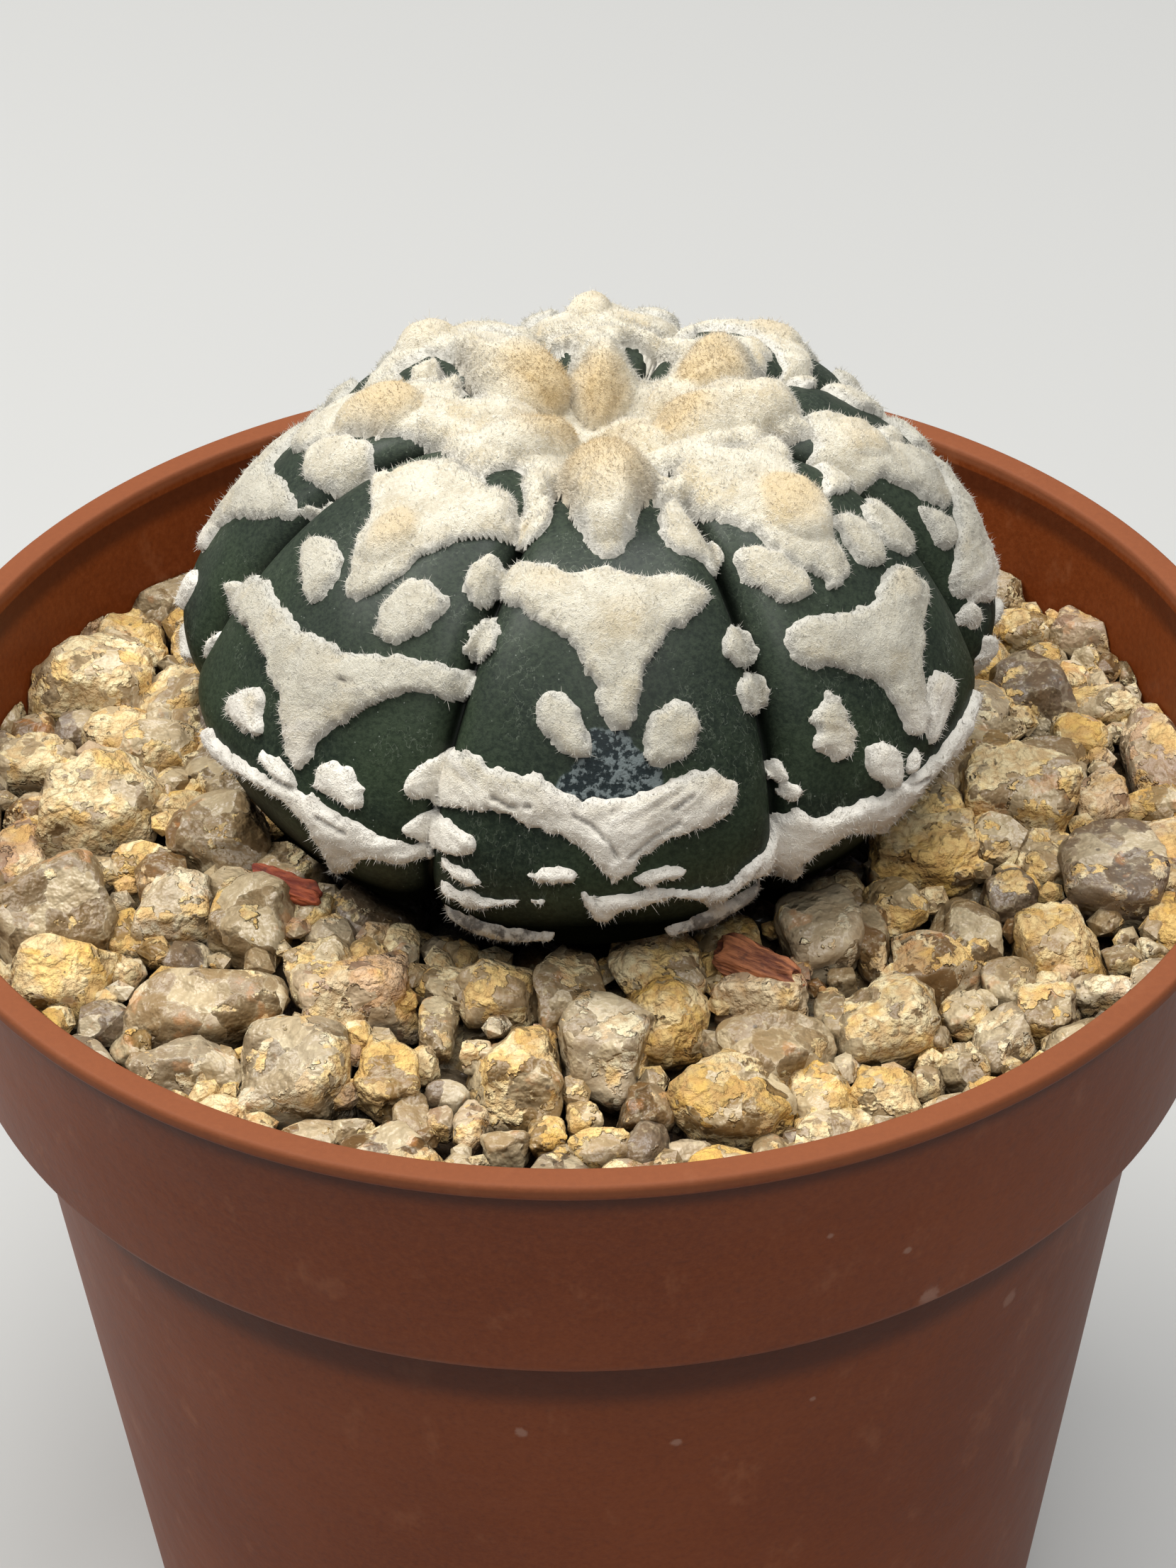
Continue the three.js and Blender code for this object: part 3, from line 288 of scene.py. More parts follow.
# Brown cracks in old wool: rib and a line of points
CRACKS = [
    (0, [(-5.2, 22.5), (-4.4, 22.8), (-3.5, 22.7)]),
    (0, [(-1.6, 23), (-0.8, 23.4), (0, 24.2), (0.4, 24.9)]), (0, [(0.9, 24.9), (1.8, 24.2), (3, 23.6)]),
    (0, [(2.7, 23), (3.6, 22.5)]), (7, [(2.9, 19.4), (3.5, 19.3)]),
    (7, [(4.7, 25.5), (5.4, 25.6), (6.2, 25.8)]), (1, [(-1.6, 25.9), (-0.4, 26.1)]),
]

# Measures of the pot, and how many sides its walls and its drain holes have
RIM_HEIGHT, RIM_RADIUS, RIM_INNER = 58.0, 32.5, 31.1
BAND_HEIGHT, BAND_FOOT_RADIUS, STEP_RADIUS, BASE_RADIUS = 12.6, 30.55, 28.5, 23.4
WALL, FLOOR_TOP, CORNER = 1.2, 2.2, 0.16
DRAINS, DRAIN_RADIUS, DRAIN_CIRCLE = 4, 2.6, 12.0
POT_SIDES, DRAIN_SIDES, WALL_ROW = 240, 24, 4
# The gravel's level, the height, middle and width of the heap round the plant, and the hollow inside it
GRAVEL_TOP, HEAP, HEAP_AT, HEAP_WIDTH = 51.6, 1.3, 18.6, 4
HOLLOW, HOLLOW_EDGE, HOLLOW_SOFT = 1.4, 15.2, 0.5
# The bed of fines under the stones: bottom, edge and top levels, radius of its edge and of the root's hole
BED_BOTTOM, BED_EDGE, BED_TOP, BED_RADIUS, ROOT_HOLE = 46.8, 48.6, 49.0, 29.0, 7.0

# Stones as the photo shows them: left, top, right and bottom in pixels, and kind
SEEN_STONES = [
    (-40, 1215, 185, 1400, "clear"), (20, 1315, 165, 1455, "ochre"), (60, 1080, 235, 1240, "cream"),
    (0, 1040, 110, 1130, "cream"), (50, 900, 225, 1045, "cream"), (0, 900, 70, 1010, "slate"),
    (20, 850, 130, 920, "pink"), (140, 860, 240, 960, "ochre"), (-20, 985, 30, 1060, "clear"),
    (170, 1020, 290, 1100, "cream"), (255, 1125, 385, 1250, "clear"), (235, 1140, 290, 1230, "brown"),
    (195, 1240, 305, 1350, "white"), (150, 1295, 220, 1365, "ochre"), (300, 1248, 415, 1362, "clear"),
    (410, 1265, 470, 1320, "cream"), (468, 1255, 605, 1365, "slate"), (403, 1310, 500, 1440, "cream"),
    (420, 1345, 590, 1460, "pink"), (180, 1362, 405, 1490, "clear"), (160, 1355, 205, 1405, "cream"),
    (155, 1455, 215, 1505, "ochre"), (185, 1470, 330, 1560, "white"), (325, 1450, 495, 1605, "white"),
    (500, 1455, 590, 1590, "ochre"), (590, 1410, 645, 1500, "clear"), (575, 1480, 620, 1530, "cream"),
    (555, 1545, 605, 1620, "clear"), (600, 1530, 660, 1570, "slate"), (604, 1565, 645, 1610, "pink"),
    (465, 1580, 530, 1625, "clear"), (640, 1555, 690, 1635, "pink"), (645, 1360, 765, 1455, "cream"),
    (620, 1330, 685, 1385, "ochre"), (775, 1300, 862, 1370, "brown"), (755, 1350, 858, 1475, "clear"),
    (860, 1320, 1000, 1440, "cream"), (870, 1378, 1000, 1505, "ochre"), (780, 1415, 925, 1562, "white"),
    (660, 1455, 795, 1605, "ochre"), (1005, 1373, 1140, 1450, "pink"), (1015, 1432, 1175, 1560, "clear"),
    (940, 1490, 1120, 1635, "ochre"), (1095, 1253, 1215, 1400, "white"), (870, 1540, 950, 1610, "brown"),
    (800, 1555, 850, 1610, "ochre"), (745, 1570, 800, 1645, "ochre"), (680, 1600, 750, 1650, "clear"),
    (800, 1600, 890, 1650, "cream"), (870, 1590, 945, 1650, "slate"), (945, 1610, 1005, 1650, "white"),
    (1165, 1370, 1210, 1405, "clear"), (650, 1475, 700, 1510, "cream"),
    (1175, 1385, 1320, 1525, "cream"), (1145, 1400, 1205, 1490, "clear"),
    (1195, 1515, 1300, 1600, "ochre"), (1110, 1500, 1200, 1610, "ochre"),
    (1320, 1410, 1400, 1470, "cream"), (1370, 1420, 1470, 1530, "white"),
    (1320, 1470, 1395, 1540, "cream"), (1435, 1400, 1525, 1480, "cream"),
    (1295, 1445, 1345, 1500, "brown"), (1285, 1510, 1335, 1550, "cream"),
    (1250, 1320, 1385, 1425, "brown"), (1215, 1245, 1310, 1320, "ochre"),
    (1200, 1260, 1260, 1390, "brown"), (1310, 1265, 1420, 1400, "clear"),
    (1380, 1235, 1460, 1310, "slate"), (1225, 1165, 1380, 1260, "ochre"),
    (1430, 1275, 1560, 1400, "ochre"), (1355, 1060, 1515, 1205, "cream"),
    (1515, 1080, 1595, 1185, "pink"), (1495, 1175, 1640, 1330, "slate"),
    (1430, 1195, 1510, 1260, "cream"), (1510, 1375, 1600, 1430, "white"),
    (1555, 1335, 1610, 1385, "clear"), (1600, 1325, 1650, 1370, "white"),
    (1380, 1350, 1460, 1430, "clear"), (1590, 990, 1670, 1175, "pink"), (1400, 930, 1515, 1055, "slate"),
    (1500, 965, 1610, 1040, "cream"), (1480, 1015, 1570, 1080, "ochre"), (1400, 860, 1490, 930, "ochre"),
    (1480, 860, 1600, 950, "pink"), (1580, 935, 1650, 980, "clear"), (1555, 1165, 1640, 1200, "clear"),
    (1600, 1195, 1670, 1290, "cream"),
]
# Kinds of stone: colours of crust and of quartz as seen (0 to 255), share of quartz, how often by chance
STONE_KINDS = {
    "cream": ((240, 216, 164), (172, 148, 112), 0.36, 0.28),
    "ochre": ((230, 188, 106), (160, 128, 78), 0.28, 0.2),
    "clear": ((234, 208, 150), (164, 140, 104), 0.7, 0.22),
    "pink": ((228, 184, 146), (178, 144, 118), 0.34, 0.1),
    "white": ((242, 230, 202), (194, 176, 146), 0.55, 0.08),
    "brown": ((190, 144, 88), (116, 84, 48), 0.66, 0.07),
    "slate": ((206, 188, 158), (122, 108, 94), 0.8, 0.05),
}
# Stones by chance: how many, their sizes, how close they lie and what share of them is sunk
CHANCE_STONES = {
    "middle": (90, (3.2, 4.8), 0.84, 0.16), "small": (120, (1.8, 3), 0.84, 0.1),
    "grit": (260, (0.9, 1.7), 0.74, -0.1),
}
# A lower layer shows in the gaps: how many stones, their sizes, and how deep they lie
LOWER_STONES, LOWER_SIZES, LOWER_DEPTH = 230, (2.4, 4.0), 2.7
# Finish of the stones: parts to an edge of the ball they are made from, roughness and sharpness
STONE_FINISH = {"large": (9, 0.12, 16), "middle": (7, 0.11, 18), "small": (2, 0, 14), "grit": (1, 0, 12)}
# The photo's size and the camera's focal length, in pixels, and the camera's place about the rim's middle
PHOTO, FOCAL = (1659, 2212), 5500
CAMERA_RISE, CAMERA_REACH = 35.64, 5.68 * RIM_RADIUS
# How far the camera looks below the rim's middle, to its right, and how it is rolled, in degrees
LOOK_LOWER, LOOK_RIGHT, ROLL = 0.9, 0.12, -1.12
# Soft lights in metres: place, size, power and colour. All face the middle of the plant.
LIGHTS = {
    "window": ((-0.34, 0.08, 0.54), 0.36, 4.0, (1.0, 0.985, 0.96)),
    "fill": ((0.05, -0.34, 0.62), 0.36, 2.2, (1.0, 0.99, 0.97)),
    "top": ((0.13, 0.09, 0.7), 0.35, 3.3, (1, 1, 1)),
}
LIT_PLACE = (0, 0, 0.055)
SKY, SKY_POWER = (0.9, 0.94, 1.0, 1), 0.2
# Half the floor's width
FLOOR_HALF = 1500.0
# Chips of bark: middle, length, width, thickness, turn and tilt
BARK_CHIPS = {
    "bark_chip_left": (-13.8, -6.8, 53.7, 4, 1.4, 1.2, -30, 14),
    "bark_chip_front": (7.9, -13.1, 53.5, 4.4, 2.1, 1.6, -32, 22),
}
BARK_GRID = 30
# Lime on the pot's wall: a place on it and the half width
LIME_MARKS = [
    (14.7, -26.8, 46.1, 0.8), (16.2, -25.4, 46.3, 0.5), (19.2, -19.9, 39.1, 0.6),
    (13.6, -27.9, 49.8, 0.3), (-3.3, -27.4, 38.8, 0.4), (3.6, -27.2, 37.8, 0.4),
    (9.8, -25.8, 38.9, 0.25), (10.1, -29.6, 52.3, 0.25),
]


# Noise
def lattice(cell, seed):
    """A repeatable number from -1 to 1 for each whole-numbered cell (x, y, z)."""
    c = cell.astype(np.int64).astype(np.uint32)
    h = c[..., 0] * np.uint32(374761393) + c[..., 1] * np.uint32(668265263)
    h = h + c[..., 2] * np.uint32(2246822519) + np.uint32(seed * 3266489917 % 2**32)
    h = (h ^ (h >> np.uint32(13))) * np.uint32(1274126177)
    h = (h ^ (h >> np.uint32(16))) * np.uint32(2654435769)
    return (h >> np.uint32(8)).astype(float) / 2**23 - 1


def noise(points, pitch, seed=0):
    """Smooth noise from -1 to 1 that changes over about pitch mm.

    It blends the eight corners of the lattice cell with the weights 3t^2 - 2t^3."""
    p = points / pitch
    cell = np.floor(p)
    t = p - cell
    t = t * t * (3 - 2 * t)
    total = 0
    for dx in (0, 1):
        for dy in (0, 1):
            for dz in (0, 1):
                weight = (t[..., 0] if dx else 1 - t[..., 0])
                weight = weight * (t[..., 1] if dy else 1 - t[..., 1])
                weight = weight * (t[..., 2] if dz else 1 - t[..., 2])
                total = total + weight * lattice(cell + (dx, dy, dz), seed)
    return total


def layered(points, pitch, layers=3, seed=0):
    """Noise plus half as much at half the pitch, and so on."""
    return sum(noise(points, pitch / 2**i, seed + i) / 2**i for i in range(layers))


# Meshes
def add_object(name, data):
    """An object in the scene that shows some data."""
    made = bpy.data.objects.new(name, data)
    bpy.context.scene.collection.objects.link(made)
    return made


def finish_piece(name, mesh, material, node):
    """Puts a mesh in the scene as a piece that stands for a CAD node."""
    piece = add_object(name, mesh)
    mesh.materials.append(material)
    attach(piece, "root")
    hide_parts(node)


def build_mesh(name, points, faces, values=None, colours=None, smooth=True):
    """A mesh from points in mm and one or more arrays of faces, with point values and colours."""
    groups = faces if isinstance(faces, (list, tuple)) else [faces]
    mesh = bpy.data.meshes.new(name)
    mesh.vertices.add(len(points))
    mesh.vertices.foreach_set("co", (np.asarray(points, float) * MM).ravel())
    corners = np.concatenate([g.ravel() for g in groups]).astype(np.int32)
    sizes = np.concatenate([np.full(len(g), g.shape[1]) for g in groups]).astype(np.int32)
    mesh.loops.add(len(corners))
    mesh.loops.foreach_set("vertex_index", corners)
    mesh.polygons.add(len(sizes))
    starts = np.concatenate([[0], np.cumsum(sizes)[:-1]]).astype(np.int32)
    mesh.polygons.foreach_set("loop_start", starts)
    mesh.polygons.foreach_set("loop_total", sizes)
    mesh.polygons.foreach_set("use_smooth", np.full(len(sizes), smooth))
    for key, value in (values or {}).items():
        layer = mesh.attributes.new(key, "FLOAT", "POINT")
        layer.data.foreach_set("value", np.asarray(value, np.float32).ravel())
    for key, value in (colours or {}).items():
        layer = mesh.attributes.new(key, "FLOAT_COLOR", "POINT")
        rgba = np.column_stack([value, np.ones(len(value))]).astype(np.float32)
        layer.data.foreach_set("color", rgba.ravel())
    mesh.update(calc_edges=True)
    mesh.validate()
    return mesh


def grid_faces(rows, columns, wrap):
    """Quads of a grid of rows and columns. The last column meets the first if it wraps."""
    i = np.arange(rows - 1)[:, None]
    j = np.arange(columns if wrap else columns - 1)[None, :]
    k = (j + 1) % columns
    quads = [i * columns + j, (i + 1) * columns + j, (i + 1) * columns + k, i * columns + k]
    return np.stack([np.broadcast_to(q, (rows - 1, j.size)) for q in quads], -1).reshape(-1, 4)


def fan(centre, ring):
    """Triangles from one point to a closed ring of points."""
    return np.column_stack([np.full(len(ring), centre), ring, np.roll(ring, -1)])


def recalculate(mesh):
    """Turns a closed mesh's faces outwards."""
    bm = bmesh.new()
    bm.from_mesh(mesh)
    bmesh.ops.recalc_face_normals(bm, faces=bm.faces)
    bm.to_mesh(mesh)
    bm.free()


def merged(points, faces):
    """The same faces on points of which no two share a place."""
    _, first, index = np.unique(np.round(points, 5), axis=0, return_index=True, return_inverse=True)
    return points[first], index.reshape(-1)[faces], first


def turned_points(points, tilt, turn):
    """Points turned about X by tilt and then about Z by turn, in degrees."""
    ct, st = math.cos(math.radians(tilt)), math.sin(math.radians(tilt))
    ca, sa = math.cos(math.radians(turn)), math.sin(math.radians(turn))
    x, y, z = points.T
    y, z = y * ct - z * st, y * st + z * ct
    return np.column_stack([x * ca - y * sa, x * sa + y * ca, z])


def circle(sides):
    """Points of a circle of radius 1, from -Y towards +X."""
    angle = np.arange(sides) * TURN / sides
    return np.stack([np.sin(angle), -np.cos(angle)], -1)


# Form of the plant
def smooth_curve(knots, steps=40):
    """A curve through the knots: each stretch is a cubic whose end slopes follow its neighbours."""
    padded = np.vstack([2 * knots[0] - knots[1], knots, 2 * knots[-1] - knots[-2]])
    a, b, c, d = padded[:-3, None], padded[1:-2, None], padded[2:-1, None], padded[3:, None]
    t = (np.arange(steps) / steps)[None, :, None]
    curve = 0.5 * (2 * b + (c - a) * t + (2 * a - 5 * b + 4 * c - d) * t**2
                   + (3 * b - a - 3 * c + d) * t**3)
    return np.vstack([curve.reshape(-1, knots.shape[1]), knots[-1:]])


CREST = smooth_curve(RIB_CREST)
CREST_S = np.concatenate([[0], np.cumsum(np.hypot(*np.diff(CREST[:, :2], axis=0).T))])


def crest_at(s):
    """Radius, height, groove depth and outward normal of the crest at a distance s from the crown."""
    r, z, groove = (np.interp(s, CREST_S, CREST[:, i]) for i in range(3))
    ahead, behind = np.clip(s + 0.2, 0, CREST_S[-1]), np.clip(s - 0.2, 0, CREST_S[-1])
    dr = np.interp(ahead, CREST_S, CREST[:, 0]) - np.interp(behind, CREST_S, CREST[:, 0])
    dz = np.interp(ahead, CREST_S, CREST[:, 1]) - np.interp(behind, CREST_S, CREST[:, 1])
    length = np.hypot(dr, dz) + 1e-9
    return r, z, groove, -dz / length, dr / length


def across_rib(azimuth):
    """Which rib an azimuth is on, and where across it: -1 and 1 in the grooves, 0 on the crest."""
    wrapped = GROOVE_AT[0] + np.mod(azimuth - GROOVE_AT[0], TURN)
    k = np.clip(np.searchsorted(GROOVE_AT, wrapped, side="right") - 1, 0, RIBS - 1)
    low, high = GROOVE_AT[k], GROOVE_AT[k + 1]
    return k, 2 * (wrapped - low) / (high - low) - 1


def leaning(radius, height, azimuth):
    """Points around the plant's own axis, which leans."""
    height = np.broadcast_to(height, azimuth.shape)
    x = PLANT_X + radius * np.sin(azimuth) + LEAN * (height - LEAN_LEVEL)
    return np.stack([x, PLANT_Y - radius * np.cos(azimuth), height], -1)


def from_plant(x, y):
    """Distance from the plant's middle, seen from above."""
    return np.hypot(x - PLANT_X, y - PLANT_Y)


def on_skin(azimuth, s, lift=0.0):
    """A point on the skin, lifted along the profile's normal.

    The skin lies under the crest by groove * (BOWL u^2 + CUT |u|^CUT_POWER), and the plant leans to +X.
    Below TUCK_LEVEL the ribs at the sides are drawn in by TUCK sin^2 of the azimuth."""
    r, z, groove, nr, nz = crest_at(s)
    u = across_rib(azimuth)[1]
    inward = groove * (BOWL * u**2 + CUT * np.abs(u) ** CUT_POWER) - lift
    z = z - inward * nz
    low = np.clip((TUCK_LEVEL - z) / TUCK_REACH, 0, 1)
    tuck = TUCK * np.sin(azimuth - CREST_AT[0]) ** 2 * low**2 * (3 - 2 * low)
    return leaning(np.maximum(r - inward * nr - tuck, 0), z, azimuth)


def to_stretch(x, s, start, end):
    """The distance to a straight stretch, and how far along it the nearest place lies, 0 to 1."""
    (xa, sa), (xb, sb) = start, end
    dx, ds = xb - xa, sb - sa
    t = np.clip(((x - xa) * dx + (s - sa) * ds) / (dx * dx + ds * ds + 1e-12), 0, 1)
    return np.hypot(x - xa - t * dx, s - sa - t * ds), t


def strip_distance(x, s, strip):
    """Distance to a strip of beads, negative inside: to the nearest stretch, less its half width."""
    best = np.full(x.shape, FAR)
    for (*start, wa), (*end, wb) in zip(strip[:-1], strip[1:]):
        away, t = to_stretch(x, s, start, end)
        best = np.minimum(best, away - wa - t * (wb - wa))
    return best


def softened(outline):
    """An outline whose corners are cut twice, each time a quarter of the way along its edges."""
    points = np.array(outline, float)
    for _ in range(2):
        after = np.roll(points, -1, axis=0)
        points = np.stack([0.75 * points + 0.25 * after, 0.25 * points + 0.75 * after], 1).reshape(-1, 2)
    return points


def outline_distance(x, s, outline, reach=2.0):
    """Distance to an outline's edge, negative inside it. Beyond reach it is 2 * reach.

    A place is inside if a line from it to one side crosses the outline an odd number of times."""
    points = softened(outline)
    low, high = points.min(0) - reach, points.max(0) + reach
    near = (x > low[0]) & (x < high[0]) & (s > low[1]) & (s < high[1])
    px, ps = x[near], s[near]
    least = np.full(px.shape, FAR)
    inside = np.zeros(px.shape, bool)
    for (xa, sa), (xb, sb) in zip(points, np.roll(points, -1, axis=0)):
        least = np.minimum(least, to_stretch(px, ps, (xa, sa), (xb, sb))[0])
        crosses = (sa > ps) != (sb > ps)
        inside ^= crosses & (px < xa + (ps - sa) / (sb - sa or 1e-9) * (xb - xa))
    best = np.full(x.shape, 2 * reach)
    best[near] = np.where(inside, -least, least)
    return best


def soft_join(a, b, reach):
    """The smaller of two distances, rounded where they are within reach of each other."""
    h = np.clip(0.5 + 0.5 * (b - a) / reach, 0, 1)
    return b + (a - b) * h - reach * h * (1 - h)


def past_crest(azimuth, k):
    """Angle from the crest of rib k, between minus and plus half a turn."""
    return np.mod(azimuth - CREST_AT[k] + math.pi, TURN) - math.pi


def across(azimuth, s, k):
    """Millimetres across rib k from its crest."""
    return past_crest(azimuth, k) * np.maximum(crest_at(s)[0], 0.4)


def crown_distance(azimuth, s):
    """Distance to the wool of the crown: a disc with arms, less the windows of bare skin."""
    x, y = s * np.sin(azimuth), -s * np.cos(azimuth)
    felt = s - CROWN_RADIUS
    for arm in CROWN_ARMS:
        felt = soft_join(felt, strip_distance(x, y, arm), 0.8)
    for window in CROWN_WINDOWS:
        felt = np.maximum(felt, -outline_distance(x, y, window))
    return np.minimum(felt, outline_distance(x, y, SHIELD))


def wool_distance(azimuth, s):
    """Distance to the nearest wool on a grid over azimuth and s, negative inside it."""
    far = crown_distance(azimuth, s)
    for k in range(RIBS):
        x = across(azimuth, s, k)
        rib = np.full(far.shape, FAR)
        for strip in FLECK_STRIPS.get(k, []):
            rib = soft_join(rib, strip_distance(x, s, strip), 1.3)
        for cx, cs, w, l in FLECK_SPOTS.get(k, []):
            lean = 0.18 * np.sign(cx) * (s - cs)
            away = np.hypot((x - cx + lean) / w, (s - cs) / l)
            rib = np.minimum(rib, (away - 1) * min(w, l))
        for outline in FLECK_OUTLINES.get(k, []):
            rib = np.minimum(rib, outline_distance(x, s, outline))
        far = np.minimum(far, rib)
    return far


def areole_field(azimuth, s, at):
    """Lift and tan colour of the felted areoles: each is a dome over an ellipse.

    With q = (x / w)^2 + (s / l)^2 the dome is (1 - q)^0.7 and the tan lies on the side towards the
    crown. There x and s are measured flat. Domes that meet add up as the cube root of their cubes."""
    lift = np.zeros(np.broadcast(azimuth, s).shape)
    tan = np.zeros(lift.shape)
    wave = 0.22 * noise(at, 1.3, 51) + 0.08 * noise(at, 0.55, 52)
    flat = np.clip((11 - s) / 2, 0, 1)
    for k, cx, cs, w, l, high, brown in AREOLES:
        turn = past_crest(azimuth, k)
        x = across(azimuth, s, k) * (1 - flat) + s * np.sin(turn) * flat
        along = s - s * (1 - np.cos(turn)) * flat
        q = ((x - cx) / w) ** 2 + ((along - cs) / l) ** 2
        lift = lift + (high * np.clip(1.06 - q - 0.5 * wave, 0, 1) ** 0.7) ** 3
        inner = q + 0.7 * (along - cs) / l
        tan = np.maximum(tan, brown * np.clip(1.1 - inner - wave, 0, 1) * np.clip(2.2 - 1.6 * q, 0, 1))
    return np.cbrt(lift), tan


def crack_field(azimuth, s):
    """1 along the cracks of old wool, with breaks, and 0 away from them."""
    half_width = 0.085
    depth = np.zeros(azimuth.shape)
    for k, line in CRACKS:
        strip = [(x, along, 0.0) for x, along in line]
        away = strip_distance(across(azimuth, s, k), s, strip)
        depth = np.maximum(depth, np.exp(-(away / half_width) ** 2))
    breaks = noise(np.stack([azimuth * 19, s, s * 0], -1), 0.5, 61)
    return depth * np.clip(1.2 + breaks, 0, 1)


def matted(azimuth, s):
    """Streaks from -1 to 1 of matted hair that run along the arms of the V shaped flecks."""
    k = across_rib(azimuth)[0]
    x = past_crest(azimuth, k) * crest_at(s)[0]
    return layered(np.stack([x * 0.14, s + 0.5 * np.abs(x), k * 9.0 + 4 * np.sign(x)], -1), 0.32, 2, 64)


def rib_columns(per_rib):
    """Azimuths all round, closer together towards the grooves."""
    t = np.arange(per_rib) / per_rib * 2 - 1
    u = np.sin(t * math.pi / 2) * 0.55 + t * 0.45
    return np.concatenate([CREST_AT[k] + u * (GROOVE_AT[k + 1] - GROOVE_AT[k]) / 2 for k in range(RIBS)])


def scar_field(azimuth, s, at):
    """1 on the corky scar, which is narrow above and has a ragged edge, and 0 away from it."""
    middle, along, half_width, half_length = SCAR
    spread = half_width * np.clip(0.55 + 0.25 * (s - along), 0.3, 1.2)
    away = np.hypot((across(azimuth, s, 0) - middle) / spread, (s - along) / half_length)
    return np.clip(2 - 1.6 * away + 0.6 * layered(at, 1.3, 3, 8), 0, 1)


def make_skin():
    """The ribbed stem: the skin formula on a grid over azimuth and distance from the crown.

    A furrow of 0.5 mm fades with exp(-d / 0.3) beside each groove."""
    columns = rib_columns(RIB_COLUMNS)
    below, wide_rows = WIDE_ROWS
    rows = np.concatenate([np.linspace(*CLOSE_ROWS), np.linspace(below, CREST_S[-1], wide_rows)])
    azimuth, s = np.meshgrid(columns, rows)
    points = on_skin(azimuth, s)
    bumps = 0.10 * noise(points, 5, 3) + 0.035 * noise(points, 1.7, 4)
    scar = scar_field(azimuth, s, points)
    k, u = across_rib(azimuth)
    aside = (1 - np.abs(u)) * (GROOVE_AT[k + 1] - GROOVE_AT[k]) / 2 * crest_at(s)[0]
    # groove also marks where the skin's material paints shade in the furrows
    groove = np.exp(-aside / 0.3) * np.clip((s - 3) / 4, 0, 1)
    points = on_skin(azimuth, s, bumps * np.clip(s / 3, 0, 1) - 0.5 * groove)
    # low rises from 0 to 1 onto the underside, where the skin's material paints shade
    low = np.clip((s - 26.6 - 1.6 * np.abs(u)) / 2, 0, 1)
    around, last = len(columns), len(rows) + len(NECK) - 1
    neck = [leaning(r, z, columns)[None] for r, z in NECK]
    ends = np.vstack([leaning(0.0, z, np.zeros(1)) for z in (SKIN_MIDDLE, NECK[-1][1])])
    grid = np.concatenate([points, *neck]).reshape(-1, 3)
    top, foot = fan(len(grid), np.arange(around)), fan(len(grid) + 1, np.arange(around) + last * around)
    quads = grid_faces(last + 1, around, True)
    pad = np.zeros(len(NECK) * around + len(ends))
    values = {"scar": scar, "low": low, "groove": groove}
    values = {key: np.concatenate([v.ravel(), pad]) for key, v in values.items()}
    caps = np.vstack([top, foot[:, ::-1]])
    mesh = build_mesh("cactus_skin", np.vstack([grid, ends]), [quads, caps], values)
    finish_piece("cactus_skin", mesh, skin_material(), "cactus")


def felt_mesh(name, azimuth, s, height, values, hub_level):
    """A sheet of wool on the skin, kept where it stands above it, with the data that fibres need.

    Cells whose corners all lie under the skin are left out. Each open edge is closed to one point
    deep in the plant, and a sheet that starts at the middle of the crown is closed on top."""
    keep = height > WOOL_EDGE
    cells = keep[:-1] & keep[1:]
    cells = cells & np.roll(cells, -1, axis=1)
    rows, columns = height.shape
    quads = grid_faces(rows, columns, True).reshape(rows - 1, columns, 4)[cells]
    used, flat = np.unique(quads, return_inverse=True)
    quads = flat.reshape(quads.shape)
    sheet = on_skin(azimuth, s, np.maximum(height, WOOL_DEEPEST)).reshape(-1, 3)[used]
    edges = np.concatenate([quads[:, [i, (i + 1) % 4]] for i in range(4)])
    forward = edges[:, 0] * (len(used) + 1) + edges[:, 1]
    backward = edges[:, 1] * (len(used) + 1) + edges[:, 0]
    rim = edges[~np.isin(forward, backward)]
    top = (used[rim] < columns).all(1) & (s[0, 0] < 0.1)
    corners, place = np.unique(rim[~top], return_inverse=True)
    place = place.reshape(-1, 2) + len(used)
    deep = len(used) + len(corners)
    walls = np.column_stack([place[:, 1], place[:, 0], np.full(len(place), deep)])
    cap = np.column_stack([rim[top][:, 1], rim[top][:, 0], np.full(top.sum(), deep + 1)])
    points = np.vstack([sheet, sheet[corners], leaning(0.0, hub_level, np.zeros(1))])
    flat_values = {key: value.ravel()[used] for key, value in values.items()}
    values = {key: np.concatenate([v, v[corners], [0]]) for key, v in flat_values.items()}
    if top.any():
        points = np.vstack([points, sheet[:columns].mean(0)])
        values = {key: np.append(v, v[0]) for key, v in values.items()}
    mesh = build_mesh(name, points, [quads, np.vstack([walls, cap])], values)
    return mesh, (points, quads, height.ravel()[used], values)


